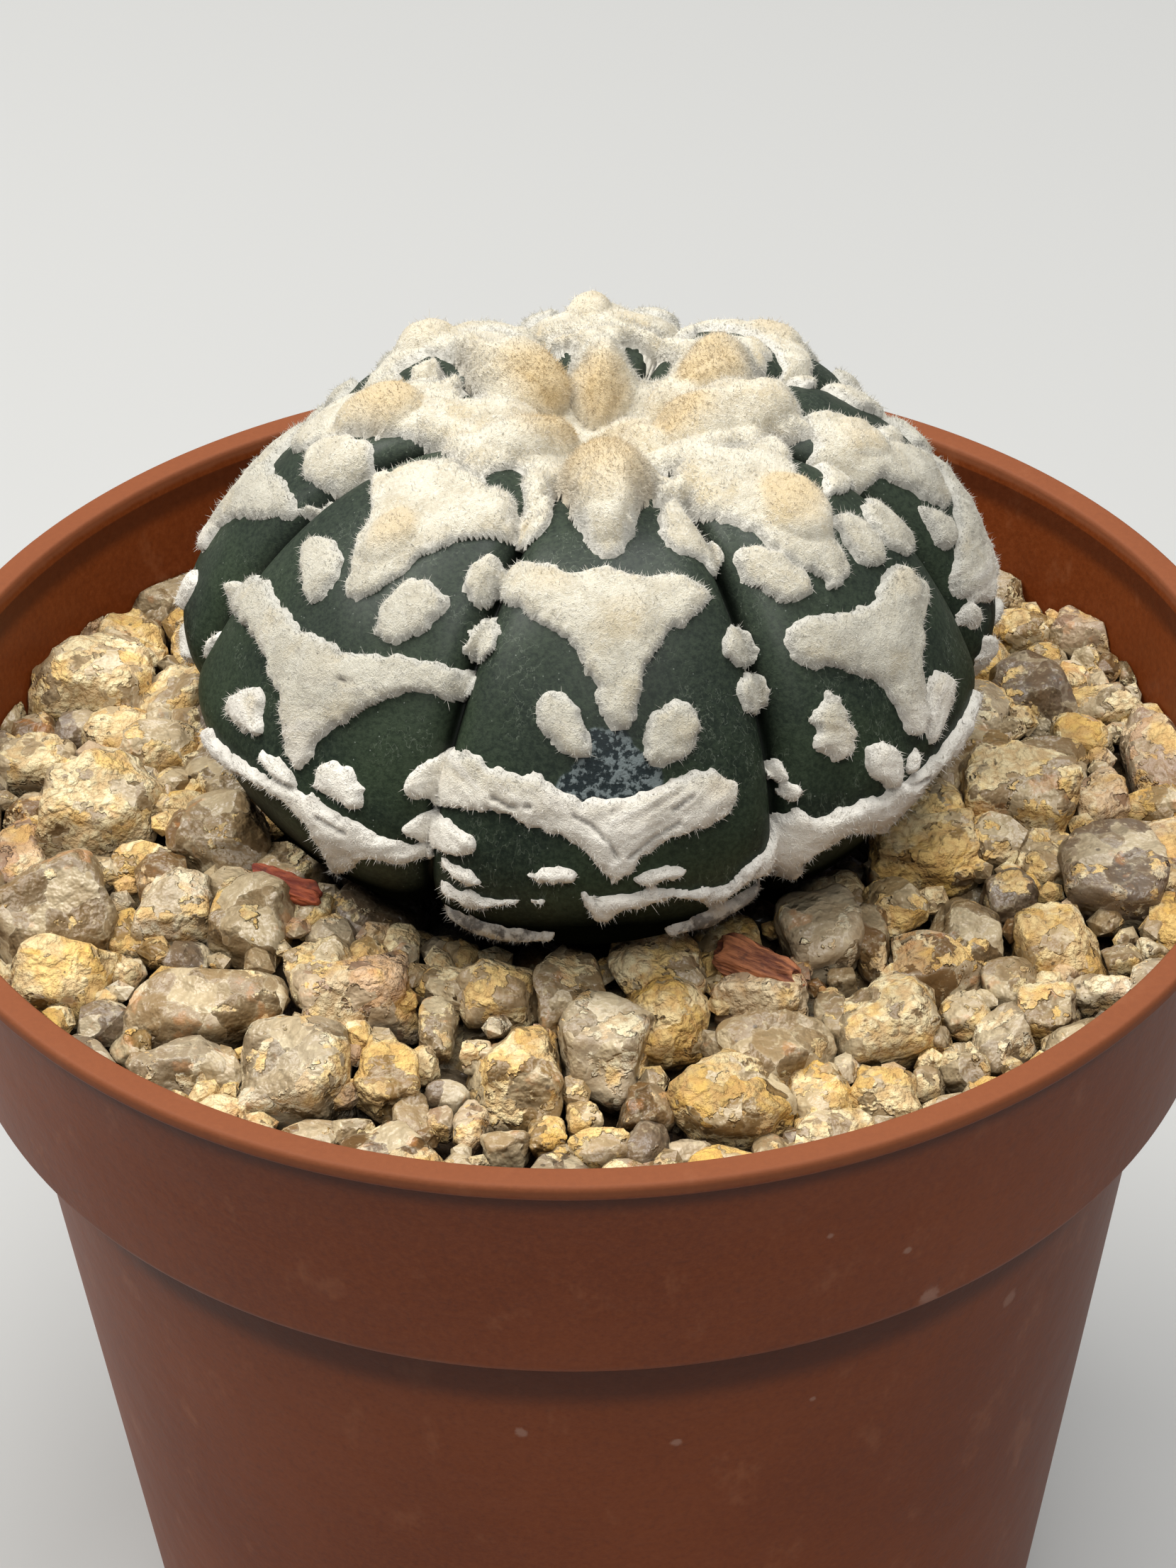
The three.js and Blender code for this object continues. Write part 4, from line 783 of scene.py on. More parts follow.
def wool_height(azimuth, s):
    """Height of the wool over the skin, and the values that its material uses.

    Inside its edge the felt is full with 1 - exp(-inside / soft). Outside it falls away below the skin."""
    at = on_skin(azimuth, s)
    crown = np.clip((10.5 - s) / 3, 0, 1)
    ragged = 0.12 * noise(at, 1.0, 12) + 0.17 * noise(at, 0.5, 13) + 0.11 * noise(at, 0.26, 19)
    distance = wool_distance(azimuth, s) + ragged
    bulge, tan = areole_field(azimuth, s, at)
    inside = np.maximum(-distance, 0)
    crack = crack_field(azimuth, s)
    full = 1 - np.exp(-inside / (0.13 + 0.14 * crown))
    lumps = (0.10 + 0.08 * crown) * noise(at, 1.6, 14)
    lumps = lumps + 0.06 * noise(at, 0.7, 15) + 0.03 * noise(at, 0.32, 16)
    streak = matted(azimuth, s)
    lumps = lumps + 0.055 * streak * np.clip((s - 19) / 2, 0, 1)
    heap = crown * (0.3 + 0.25 * noise(at, 2.8, 18))
    bridge = crown * crest_at(s)[2] * CUT * np.abs(across_rib(azimuth)[1]) ** CUT_POWER
    thick = 0.40 + 0.2 * (1 - np.exp(-inside / 0.9)) + lumps + heap + bridge
    height = np.where(distance < 0, (thick + bulge - 0.25 * crack) * full, -1.6 * distance)
    old = np.clip((s - 21) / 6, 0, 1) * (0.75 + 0.5 * noise(at, 3.5, 17))
    return height, {"tan": tan, "old": np.clip(old, 0, 1), "rim": np.exp(-inside / 0.3), "crack": crack,
                    "streak": streak * np.clip((s - 17) / 4, 0, 1)}


def make_wool():
    """The flecks on the ribs and the wool of the crown, with short fibres standing out of both."""
    material = wool_material()
    for name, (low, high, rows, columns, hub_level, fibres, node) in WOOL_SHEETS.items():
        azimuth, s = np.meshgrid(np.arange(columns) * TURN / columns, np.linspace(low, high, rows))
        mesh, sheet = felt_mesh(name, azimuth, s, *wool_height(azimuth, s), hub_level)
        finish_piece(name, mesh, material, node)
        finish_piece(name + "_fibres", fibre_mesh(name + "_fibres", sheet, fibres), material, node)


def unit(vectors):
    """Vectors in rows, made one long."""
    return vectors / np.linalg.norm(vectors, axis=1)[:, None]


def fibre_mesh(name, sheet, count):
    """Short wool fibres: thin three sided spikes that stand out of the felt, most along its edges."""
    points, quads, height, data = sheet
    rng = np.random.default_rng(5)
    a, b, c, d = (points[quads[:, i]] for i in range(4))
    normal = np.cross(c - a, d - b)
    area = np.linalg.norm(normal, axis=1)
    normal /= area[:, None] + 1e-12
    above = height[quads].min(1) > 0.02
    on_quads = {key: value[quads].mean(1) for key, value in data.items()}
    weight = area * above * (0.25 + 3 * on_quads["rim"] + 0.8 * on_quads["tan"])
    pick = rng.choice(len(quads), count, p=weight / weight.sum())
    mix = rng.dirichlet((1, 1, 1, 1), count)[:, :, None]
    foot = (np.stack([a[pick], b[pick], c[pick], d[pick]], 1) * mix).sum(1)
    out = unit(normal[pick] + 0.8 * unit(rng.normal(size=(count, 3))))
    length = rng.gamma(3.0, 0.046, count)[:, None] + 0.06
    side = unit(np.cross(out, rng.normal(size=(count, 3))))
    other = np.cross(out, side)
    wide = rng.uniform(0.012, 0.024, count)[:, None]
    root = foot - 0.04 * out
    angles = np.arange(3) * TURN / 3
    corners = [root + wide * (math.cos(t) * side + math.sin(t) * other) for t in angles]
    tip = foot + out * length + rng.normal(size=(count, 3)) * 0.02
    spikes = np.stack([*corners, tip], 1).reshape(-1, 3)
    base = 4 * np.arange(count)[:, None]
    tri = np.concatenate([base + np.array([row]) for row in ((0, 1, 3), (1, 2, 3), (2, 0, 3), (0, 2, 1))])
    tone = {key: np.repeat(on_quads[key][pick], 4) for key in ("tan", "old", "streak")}
    tone["rim"] = np.ones(4 * count)
    return build_mesh(name, spikes, tri, tone, smooth=False)


# Pot and bark
def rounded(points, radius, steps=4):
    """A profile whose corners are rounded: each corner becomes a short curve of equal reach."""
    out = [points[0]]
    for before, here, after in zip(points[:-2], points[1:-1], points[2:]):
        before, here, after = map(np.asarray, (before, here, after))
        one, two = before - here, after - here
        reach = min(radius, 0.45 * np.linalg.norm(one), 0.45 * np.linalg.norm(two))
        start = here + one / np.linalg.norm(one) * reach
        end = here + two / np.linalg.norm(two) * reach
        for t in np.linspace(0, 1, steps):
            out.append((1 - t) ** 2 * start + 2 * t * (1 - t) * here + t**2 * end)
    out.append(points[-1])
    return np.array([np.asarray(p, float) for p in out])


def make_pot():
    """The moulded pot: its section turned about Z, closed by two flat discs with the drain holes."""
    foot = RIM_HEIGHT - BAND_HEIGHT
    ring = BASE_RADIUS - 2.2
    section = [
        (ring - 0.6, 0.8), (ring, 0), (BASE_RADIUS - 0.6, 0), (BASE_RADIUS, 0.6),
        (STEP_RADIUS - 0.3, foot - 1.6), (STEP_RADIUS - 0.1, foot - 0.2), (STEP_RADIUS + 0.2, foot),
        (BAND_FOOT_RADIUS - 0.2, foot), (BAND_FOOT_RADIUS, foot + 0.3),
        (RIM_RADIUS - 0.8, RIM_HEIGHT - 0.9), (RIM_RADIUS - 0.2, RIM_HEIGHT - 0.82),
        (RIM_RADIUS, RIM_HEIGHT - 0.64), (RIM_RADIUS, RIM_HEIGHT - 0.2),
        (RIM_RADIUS - 0.14, RIM_HEIGHT), (RIM_INNER + 0.12, RIM_HEIGHT - 0.03),
        (RIM_INNER, RIM_HEIGHT - 0.2),
        (BAND_FOOT_RADIUS - WALL, foot + 0.8), (STEP_RADIUS - WALL, foot - 1.6),
        (BASE_RADIUS - WALL, FLOOR_TOP + 0.8), (BASE_RADIUS - WALL - 0.8, FLOOR_TOP),
    ]
    profile = rounded(section, CORNER)
    # Long walls get more rows, so that the mesh bends evenly
    dense = [profile[0]]
    for start, end in zip(profile[:-1], profile[1:]):
        parts = max(1, int(np.linalg.norm(end - start) / WALL_ROW))
        dense.extend(start + (end - start) * (i + 1) / parts for i in range(parts))
    shell = [np.column_stack([r * circle(POT_SIDES), np.full(POT_SIDES, z)]) for r, z in dense]
    angles = (np.arange(DRAINS) + 0.5) * TURN / DRAINS
    middles = [DRAIN_CIRCLE * np.array([math.cos(t), math.sin(t)]) for t in angles]
    levels = (dense[0][1], dense[-1][1])
    holes = [np.column_stack([middle + DRAIN_RADIUS * circle(DRAIN_SIDES), np.full(DRAIN_SIDES, z)])
             for z in levels for middle in middles]
    points = np.vstack([*shell, *holes])
    faces = [grid_faces(len(dense), POT_SIDES, True)[:, ::-1]]
    base, rims = len(dense) * POT_SIDES, DRAINS * DRAIN_SIDES
    for top, row in ((0, 0), (1, len(dense) - 1)):
        ids = np.concatenate([row * POT_SIDES + np.arange(POT_SIDES), base + top * rims + np.arange(rims)])
        tri = ids[disc_with_holes(points[ids][:, :2], middles)]
        faces.append(tri if top else tri[:, ::-1])
    for i in range(DRAINS):
        low = base + DRAIN_SIDES * i + np.arange(DRAIN_SIDES)
        after = np.roll(low, -1)
        faces.append(np.column_stack([low, low + rims, after + rims, after]))
    mesh = build_mesh("pot_shell", points, faces)
    recalculate(mesh)
    finish_piece("pot_shell", mesh, pot_material(), "pot")


def disc_with_holes(flat, middles):
    """Triangles between the outer ring of points and the rings of the drain holes."""
    starts = [0] + [POT_SIDES + DRAIN_SIDES * i for i in range(DRAINS + 1)]
    loops = [list(range(start, end)) for start, end in zip(starts[:-1], starts[1:])]
    edges = [(a, b) for loop in loops for a, b in zip(loop, loop[1:] + loop[:1])]
    tri = np.array(delaunay_2d_cdt([Vector(p) for p in flat], edges, [], 0, 1e-6)[2])
    centre = flat[tri].mean(1)
    solid = np.all([np.hypot(*(centre - m).T) > DRAIN_RADIUS * 0.995 for m in middles], axis=0)
    return tri[solid]


def bark_box(x, y, z, length, width, thick, turn, tilt):
    """A splintered chip: a grid over the six sides of a block, ridged along its grain.

    Its ends are torn: each thread of the grain is drawn out by its own length."""
    n = BARK_GRID
    t = np.linspace(-1, 1, n)
    a, b = np.meshgrid(t, t)
    sides = []
    for axis in range(3):
        for sign in (-1, 1):
            p = np.stack([np.full_like(a, sign), a * sign, b], -1)
            sides.append(np.roll(p, axis, axis=-1))
    cube = np.stack(sides)
    shape = cube / np.maximum(1, (np.abs(cube) ** 6).sum(-1, keepdims=True) ** (1 / 6))
    ex, ey, ez = shape[..., 0], shape[..., 1], shape[..., 2]
    seed = int(10 + abs(x))
    thread = np.stack([0 * ex, ey * width / 2, ez * thick / 2], -1)
    torn = 0.32 * layered(thread, 0.5, 2, seed) * ex**2 * np.sign(ex)
    half = np.stack([
        ex * (length / 2 - 0.25) * (1 - 0.12 * np.sign(ex) * ey) + torn,
        ey * (width / 2 - 0.1) * (1 - 0.22 * ex),
        ez * (thick / 2 - 0.1) * (1 - 0.15 * ex + 0.1 * ey),
    ], -1)
    grain = half * (0.16, 1, 1)
    half[..., 1:] += 0.22 * shape[..., 1:] * layered(grain, 0.42, 3, seed + 3)[..., None]
    half = half + 0.05 * shape * noise(half, 0.4, seed + 9)[..., None]
    points = turned_points(half.reshape(-1, 3), tilt, turn) + (x, y, z)
    quads = np.concatenate([grid_faces(n, n, False) + i * n * n for i in range(6)])
    return *merged(points, quads), grain.reshape(-1, 3)


def make_bark():
    """The two chips. The one on the left is redder."""
    material = bark_material()
    for node, measures in BARK_CHIPS.items():
        points, quads, first, grain = bark_box(*measures)
        red = np.full(len(points), float(node == "bark_chip_left"))
        mesh = build_mesh(node + "_wood", points, quads, {"red": red}, {"grain": grain[first]})
        recalculate(mesh)
        finish_piece(node + "_wood", mesh, material, node)


# Gravel
def ball(parts):
    """Points and triangles of a sphere: each face of an icosahedron split into parts squared."""
    g = (1 + 5**0.5) / 2
    corners = np.array([(-1, g, 0), (1, g, 0), (-1, -g, 0), (1, -g, 0), (0, -1, g), (0, 1, g), (0, -1, -g),
                        (0, 1, -g), (g, 0, -1), (g, 0, 1), (-g, 0, -1), (-g, 0, 1)], float)
    faces = np.array([(0, 11, 5), (0, 5, 1), (0, 1, 7), (0, 7, 10), (0, 10, 11), (1, 5, 9), (5, 11, 4),
                      (11, 10, 2), (10, 7, 6), (7, 1, 8), (3, 9, 4), (3, 4, 2), (3, 2, 6), (3, 6, 8),
                      (3, 8, 9), (4, 9, 5), (2, 4, 11), (6, 2, 10), (8, 6, 7), (9, 8, 1)])
    points, triangles, count = [], [], 0
    for a, b, c in corners[faces]:
        rows = []
        for i in range(parts + 1):
            rows.append(list(range(count, count + i + 1)))
            for j in range(i + 1):
                points.append(a + (b - a) * (i - j) / parts + (c - a) * j / parts)
            count += i + 1
        for i in range(parts):
            for j in range(i + 1):
                triangles.append((rows[i][j], rows[i + 1][j], rows[i + 1][j + 1]))
                if j < i:
                    triangles.append((rows[i][j], rows[i + 1][j + 1], rows[i][j + 1]))
    points, triangles, _ = merged(np.array(points), np.array(triangles))
    return unit(points), triangles


def stone_form(direction, rng, rough, power):
    """A crushed stone that fills a box from -1 to 1.

    Its radius is the nearest of some planes, (sum of (n.d / p)^power)^(-1/power): the six of a block
    that is a little askew, and some that cut its corners. Then each grain of the rock, the patch of
    directions nearest to one of its seeds, stands out by its own amount, with bumps and pits on it."""
    cuts = rng.integers(6, 11)
    block = np.vstack([np.eye(3), -np.eye(3)]) + rng.normal(0, 0.2, (6, 3))
    normals = unit(np.vstack([block, rng.normal(size=(cuts, 3))]))
    reach = np.concatenate([rng.uniform(0.64, 0.84, 6), rng.uniform(0.74, 0.98, cuts)])
    facing = np.maximum(direction @ normals.T, 0.01) / reach
    radius = (np.sum(facing**power, axis=1) + rng.uniform(0.9, 1.08) ** power) ** (-1 / power)
    if rough:
        grains = 46
        seeds = unit(rng.normal(size=(grains, 3)))
        shift = rng.uniform(0, 100, 3)
        bent = direction + 0.16 * np.stack([noise(direction + shift, 0.3, 24 + i) for i in range(3)], -1)
        grain = np.argmax(bent @ seeds.T, axis=1)
        at = direction + shift
        bumps = 0.42 * rng.uniform(-1, 1, grains)[grain] + noise(at, 0.6, 21) + 0.6 * noise(at, 0.25, 22)
        pits = 0.8 * np.clip(noise(at, 0.33, 23) - 0.45, 0, 1)
        radius = radius * (1 + rough * (bumps - pits + 0.3 * noise(at, 0.1, 25)))
    form = direction * radius[:, None]
    low, high = form.min(0), form.max(0)
    return (2 * form - low - high) / (high - low)


def gravel_level(x, y):
    """The gravel is heaped around the plant and lies lower below its overhang."""
    away = from_plant(x, y)
    hollow = HOLLOW / (1 + np.exp((away - HOLLOW_EDGE) / HOLLOW_SOFT))
    return GRAVEL_TOP + HEAP * np.exp(-(((away - HEAP_AT) / HEAP_WIDTH) ** 2)) - hollow


def wall_radius(z):
    """Inner radius of the pot at a height in the gravel."""
    foot = RIM_HEIGHT - BAND_HEIGHT + 0.8
    low, high = BAND_FOOT_RADIUS - WALL, RIM_INNER
    return low + (high - low) * (z - foot) / (RIM_HEIGHT - 0.3 - foot)


def camera_place():
    """The photo's camera: 185 mm from the rim's middle, looking down at 36.5 degrees, a little rolled."""
    rise, distance = math.radians(CAMERA_RISE), CAMERA_REACH * MM
    place = Vector((0, -distance * math.cos(rise), distance * math.sin(rise) + RIM_HEIGHT * MM))
    down, side = rise + math.radians(LOOK_LOWER), math.radians(LOOK_RIGHT)
    forward = Vector((math.sin(side) * math.cos(down), math.cos(side) * math.cos(down), -math.sin(down)))
    return aimed(place, place + forward, math.radians(ROLL))


def seen_at(px, py, level):
    """The place at a height in mm that is seen at a pixel of the photo, and pixels to a mm there."""
    matrix = camera_place()
    ray = matrix.to_3x3() @ Vector(((px - PHOTO[0] / 2) / FOCAL, (PHOTO[1] / 2 - py) / FOCAL, -1))
    far = (level - matrix.translation.z / MM) / ray.z
    place = matrix.translation / MM + ray * far
    return place.x, place.y, FOCAL / far


def seen_stone(left, top, right, bottom, kind):
    """A stone that fills a box in the photo, lying in the gravel."""
    level = GRAVEL_TOP
    for _ in range(4):
        x, y, scale = seen_at((left + right) / 2, (top + bottom) / 2, level)
        level = gravel_level(x, y) - 0.1
    length, width = (right - left) / scale, (bottom - top) / scale / 0.92
    return x, y, level, 1.06 * length, 1.06 * width, 0.9 * min(length, width) + 0.4, 0, kind


def under_plant(x, y):
    """Height of the plant's underside above a place in the gravel, or a large one beside it."""
    low = CREST_S > 27
    r, z = CREST[low, 0], CREST[low, 1]
    away = from_plant(x, y)
    return FAR if away > r.max() else float(np.interp(away, r[::-1], z[::-1]))


def any_place(rng, radius, inner):
    """A place in the pot, as likely in one spot as in another, from a share of the radius outwards."""
    r, a = radius * math.sqrt(rng.uniform(inner, 1)), rng.uniform(0, TURN)
    return r * math.sin(a), -r * math.cos(a)


def any_kind(rng):
    """A kind of stone, each as often as its table says."""
    return list(STONE_KINDS)[rng.choice(len(STONE_KINDS), p=[kind[3] for kind in STONE_KINDS.values()])]


def scattered(rng, taken, target, sizes, crowding, sink):
    """Stones by chance where there is room between those that are taken."""
    stones, tries = [], 0
    while len(stones) < target and tries < 9000:
        tries += 1
        size = rng.uniform(*sizes)
        x, y = any_place(rng, 30.3, 0)
        if from_plant(x, y) < 11.5:
            continue
        if all(math.hypot(x - u, y - v) > crowding * (w + size / 2) for u, v, w in taken):
            stones.append((x, y, gravel_level(x, y) - sink * size, size * rng.uniform(1.1, 1.45), size,
                           size * rng.uniform(0.8, 1), rng.uniform(0, 180), any_kind(rng)))
            taken.append((x, y, size / 2))
    return stones


def lower_layer(rng):
    """Stones by chance under the others."""
    stones = []
    for _ in range(LOWER_STONES):
        x, y = any_place(rng, 29.0, 0.12)
        size = rng.uniform(*LOWER_SIZES)
        stones.append((x, y, gravel_level(x, y) - LOWER_DEPTH, size * 1.2, size, size * 0.8,
                       rng.uniform(0, 180), any_kind(rng)))
    return stones


def placed_stone(rng, direction, rough, power, stone):
    """One stone's points, kept under the plant and inside the pot's wall, and its colours and looks."""
    x, y, z, length, width, height, turn, kind = stone
    crust, quartz, share, _ = STONE_KINDS[kind]
    form = stone_form(direction, rng, rough * (1.2 - 0.8 * share), power + 14 * share)
    form = form * (length / 2, width / 2, height / 2)
    form = turned_points(form, rng.uniform(-12, 12), turn + rng.uniform(-8, 8))
    form = form + (x, y, min(z, under_plant(x, y) - 0.15 - form[:, 2].max()))
    edge = wall_radius(form[:, 2]) - 0.12
    form[:, :2] *= np.minimum(1, edge / np.hypot(form[:, 0], form[:, 1]))[:, None]
    tint = np.concatenate([srgb(*crust), srgb(*quartz)]) * rng.uniform(0.56, 0.91)
    glassy = np.full(len(form), share + rng.uniform(-0.12, 0.12))
    # Painted shade on the stones under the plant's overhang
    shade_under_plant = np.clip((16 - from_plant(form[:, 0], form[:, 1])) / 1.2, 0, 0.94)
    return form, np.column_stack([np.tile(tint, (len(form), 1)), glassy, shade_under_plant])


def make_gravel():
    """Crushed stones: those that the photo shows, then others by chance where there is room."""
    rng = np.random.default_rng(41)
    stones = {"large": [seen_stone(*box) for box in SEEN_STONES]}
    taken = [(x, y, (length + width) / 4) for x, y, _, length, width, _, _, _ in stones["large"]]
    taken += [(x, y, 0.36 * length) for x, y, _, length, _, _, _, _ in BARK_CHIPS.values()]
    for size, rule in CHANCE_STONES.items():
        stones[size] = scattered(rng, taken, *rule)
    stones["small"] += lower_layer(rng)
    material = stone_material()
    for size, (parts, rough, power) in STONE_FINISH.items():
        direction, triangles = ball(parts)
        made = [placed_stone(rng, direction, rough, power, stone) for stone in stones[size]]
        points, looks = (np.vstack(part) for part in zip(*made))
        faces = np.vstack([triangles + i * len(direction) for i in range(len(made))])
        tints = np.clip(looks[:, :6], 0, 1)
        mesh = build_mesh("gravel_" + size, points, faces, {"glassy": looks[:, 6], "shade_under_plant": looks[:, 7]},
                          {"crust": tints[:, :3], "quartz": tints[:, 3:]}, smooth=parts > 2)
        finish_piece("gravel_" + size, mesh, material, "gravel")


def make_bed():
    """Fine grit under the stones: a solid of revolution whose top is roughened, with room for the root."""
    sides = 200
    rows = [(ROOT_HOLE, BED_BOTTOM), (BED_RADIUS - 0.8, BED_BOTTOM), (BED_RADIUS, BED_EDGE)]
    rows += [(r, BED_TOP) for r in np.linspace(BED_RADIUS - 0.2, ROOT_HOLE, 60)]
    points = np.stack([np.column_stack([r * circle(sides), np.full(sides, z)]) for r, z in rows])
    upper = points[..., 2] > (BED_BOTTOM + BED_TOP) / 2
    points[..., 2] += np.where(upper, 0.5 * layered(points, 2.2, 4, 31), 0)
    count = len(rows) * sides
    points = np.vstack([points.reshape(-1, 3), [[0, 0, BED_BOTTOM], [0, 0, BED_TOP]]])
    bottom, top = fan(count, np.arange(sides)), fan(count + 1, np.arange(sides) + count - sides)
    quads = grid_faces(len(rows), sides, True)[:, ::-1]
    mesh = build_mesh("gravel_fines", points, [quads, np.vstack([bottom[:, ::-1], top])])
    material = crumb_material("gravel_fines", 1.6, (34, 24, 15), (82, 62, 38), 5, 0.4, 0.9)
    finish_piece("gravel_fines", mesh, material, "gravel")


# Materials
def srgb(red, green, blue):
    """A colour as seen, 0 to 255, in the linear light that shaders use."""
    return tuple(v / 12.92 if v <= 0.04045 else ((v + 0.055) / 1.055) ** 2.4
                 for v in (red / 255, green / 255, blue / 255))


class Wire:
    """A value in a material. Arithmetic on it adds Math nodes."""

    def __init__(self, paint, socket):
        self.paint = paint
        self.socket = socket

    def math(self, operation, *values):
        """One Math node."""
        return self.paint.node("Math", {"operation": operation}, dict(enumerate(values)))

    def __add__(self, other):
        return self.math("ADD", self, other)

    def __sub__(self, other):
        return self.math("SUBTRACT", self, other)

    def __rsub__(self, other):
        return self.math("SUBTRACT", other, self)

    def __mul__(self, other):
        return self.math("MULTIPLY", self, other)

    __radd__ = __add__
    __rmul__ = __mul__

    def ramp(self, low, high):
        """0 below low, 1 above high and a soft step between."""
        return self.paint.node("MapRange", {"interpolation_type": "SMOOTHSTEP"}, {0: self, 1: low, 2: high})


class Paint:
    """One material: a Principled surface and the nodes that vary it."""

    def __init__(self, name, **constants):
        self.material = bpy.data.materials.new(name)
        self.material.use_nodes = True
        self.tree = self.material.node_tree
        self.surface = self.tree.nodes["Principled BSDF"]
        for key, value in constants.items():
            self.surface.inputs[key.replace("_", " ")].default_value = value

    def node(self, kind, settings, values, output=0):
        """Adds a node of a kind, sets it up, feeds its sockets and gives one output."""
        made = self.tree.nodes.new("ShaderNode" + kind)
        for key, value in settings.items():
            setattr(made, key, value)
        for key, value in values.items():
            if isinstance(value, Wire):
                self.tree.links.new(value.socket, made.inputs[key])
            elif isinstance(value, tuple) and len(value) == 3 and made.inputs[key].type == "RGBA":
                made.inputs[key].default_value = (*value, 1)
            else:
                made.inputs[key].default_value = value
        return Wire(self, made.outputs[output])

    def feed(self, socket, wire):
        """Links a value to one of the surface's sockets."""
        self.tree.links.new(wire.socket, self.surface.inputs[socket])

    def vector(self, operation, one, two, output=0):
        """One Vector Math node."""
        return self.node("VectorMath", {"operation": operation}, {0: one, 1: two}, output)

    def part(self, vector, axis):
        """One of the three parts of a vector or colour."""
        return self.node("SeparateXYZ", {}, {0: vector}, axis)

    def place(self, stretch=(1, 1, 1)):
        """Object coordinates in millimetres, stretched along an axis where a pattern runs along it."""
        here = self.node("TexCoord", {}, {}, "Object")
        return self.vector("MULTIPLY", here, tuple(v / MM for v in stretch))

    def cloud(self, where, per_mm, detail=3, rough=0.55, output=0):
        """Soft noise with so many waves to a millimetre."""
        values = {"Vector": where, "Scale": per_mm, "Detail": detail, "Roughness": rough}
        return self.node("TexNoise", {}, values, output)

    def cells(self, where, per_mm, output="Distance", feature="F1"):
        """Cells about points set by chance, so many to a millimetre."""
        return self.node("TexVoronoi", {"feature": feature}, {"Vector": where, "Scale": per_mm}, output)

    def value(self, name, output="Fac"):
        """A value that the mesh holds at its points."""
        return self.node("Attribute", {"attribute_name": name}, {}, output)

    def blend(self, amount, one, two):
        """Two colours mixed: all of the first at 0, all of the second at 1."""
        return self.node("Mix", {"data_type": "RGBA"}, {0: amount, 6: one, 7: two}, 2)

    def coats(self, base, *coats):
        """Coats of colour over a base, one after the other: how much of each, and its colour as seen."""
        for amount, *colour in coats:
            base = self.blend(amount, base, srgb(*colour))
        return base

    def relief(self, height, strength, distance_mm):
        """Small bumps by a height."""
        bump = self.node("Bump", {}, {"Strength": strength, "Distance": distance_mm * MM, "Height": height})
        self.feed("Normal", bump)


def skin_material():
    """Grey-green skin: velvety grain, pale dots, scratches, a corky scar; painted shade in grooves and
    underneath.
    """
    p = Paint("cactus_skin", Specular_IOR_Level=0, Coat_Roughness=0.42)
    mm = p.place()
    high, fine, crack = p.part(mm, 2), p.cloud(mm, 4.5, 5, 0.7), p.cloud(mm, 2.4, 4, 0.66)
    speck = (1 - p.cells(mm, 2.6).ramp(0.03, 0.13)) * p.part(p.cells(mm, 2.6, "Color"), 0).ramp(0.6, 0.64)
    thread = p.cloud(p.place((1, 1, 0.35)), 1.6, 3, 0.6)
    scratch = thread.ramp(0.485, 0.5) * (1 - thread.ramp(0.5, 0.515)) * p.cloud(mm, 0.3, 2).ramp(0.5, 0.6)
    low, scar = p.value("low"), p.value("scar").ramp(0.35, 0.65)
    base = p.blend(p.cloud(mm, 0.16, 3).ramp(0.35, 0.65), srgb(28, 37, 29), srgb(44, 55, 39))
    base = p.coats(
        base,
        (high.ramp(62, 71) * 0.5, 56, 62, 56),
        (fine.ramp(0.4, 0.7) * 0.4, 64, 74, 58),
        (fine.ramp(0.55, 0.3) * 0.5, 19, 27, 21),
        (speck * 0.5, 150, 158, 146),
        (scratch * 0.22, 140, 148, 132),
        # Painted shade in the grooves
        (p.value("groove").ramp(0.1, 0.6) * 0.9, 10, 14, 10),
        # Painted shade on the underside, near black
        (low * 0.96, 4, 5, 3),
        (scar * 0.85, 30, 38, 42),
        (scar * crack.ramp(0.47, 0.56) * 0.85, 110, 119, 119),
    )
    p.feed("Base Color", base)
    p.feed("Roughness", 0.4 + fine * 0.2 + scar * 0.2 + low * 0.4)
    # The coat fades out on the underside, so that its painted shade stays near black
    p.feed("Coat Weight", (1 - low) * 0.33)
    p.relief(fine * 0.8 + p.cloud(mm, 12, 2) * 0.3 + crack * scar * 2 + speck * 0.4, 0.6, 0.14)
    return p.material


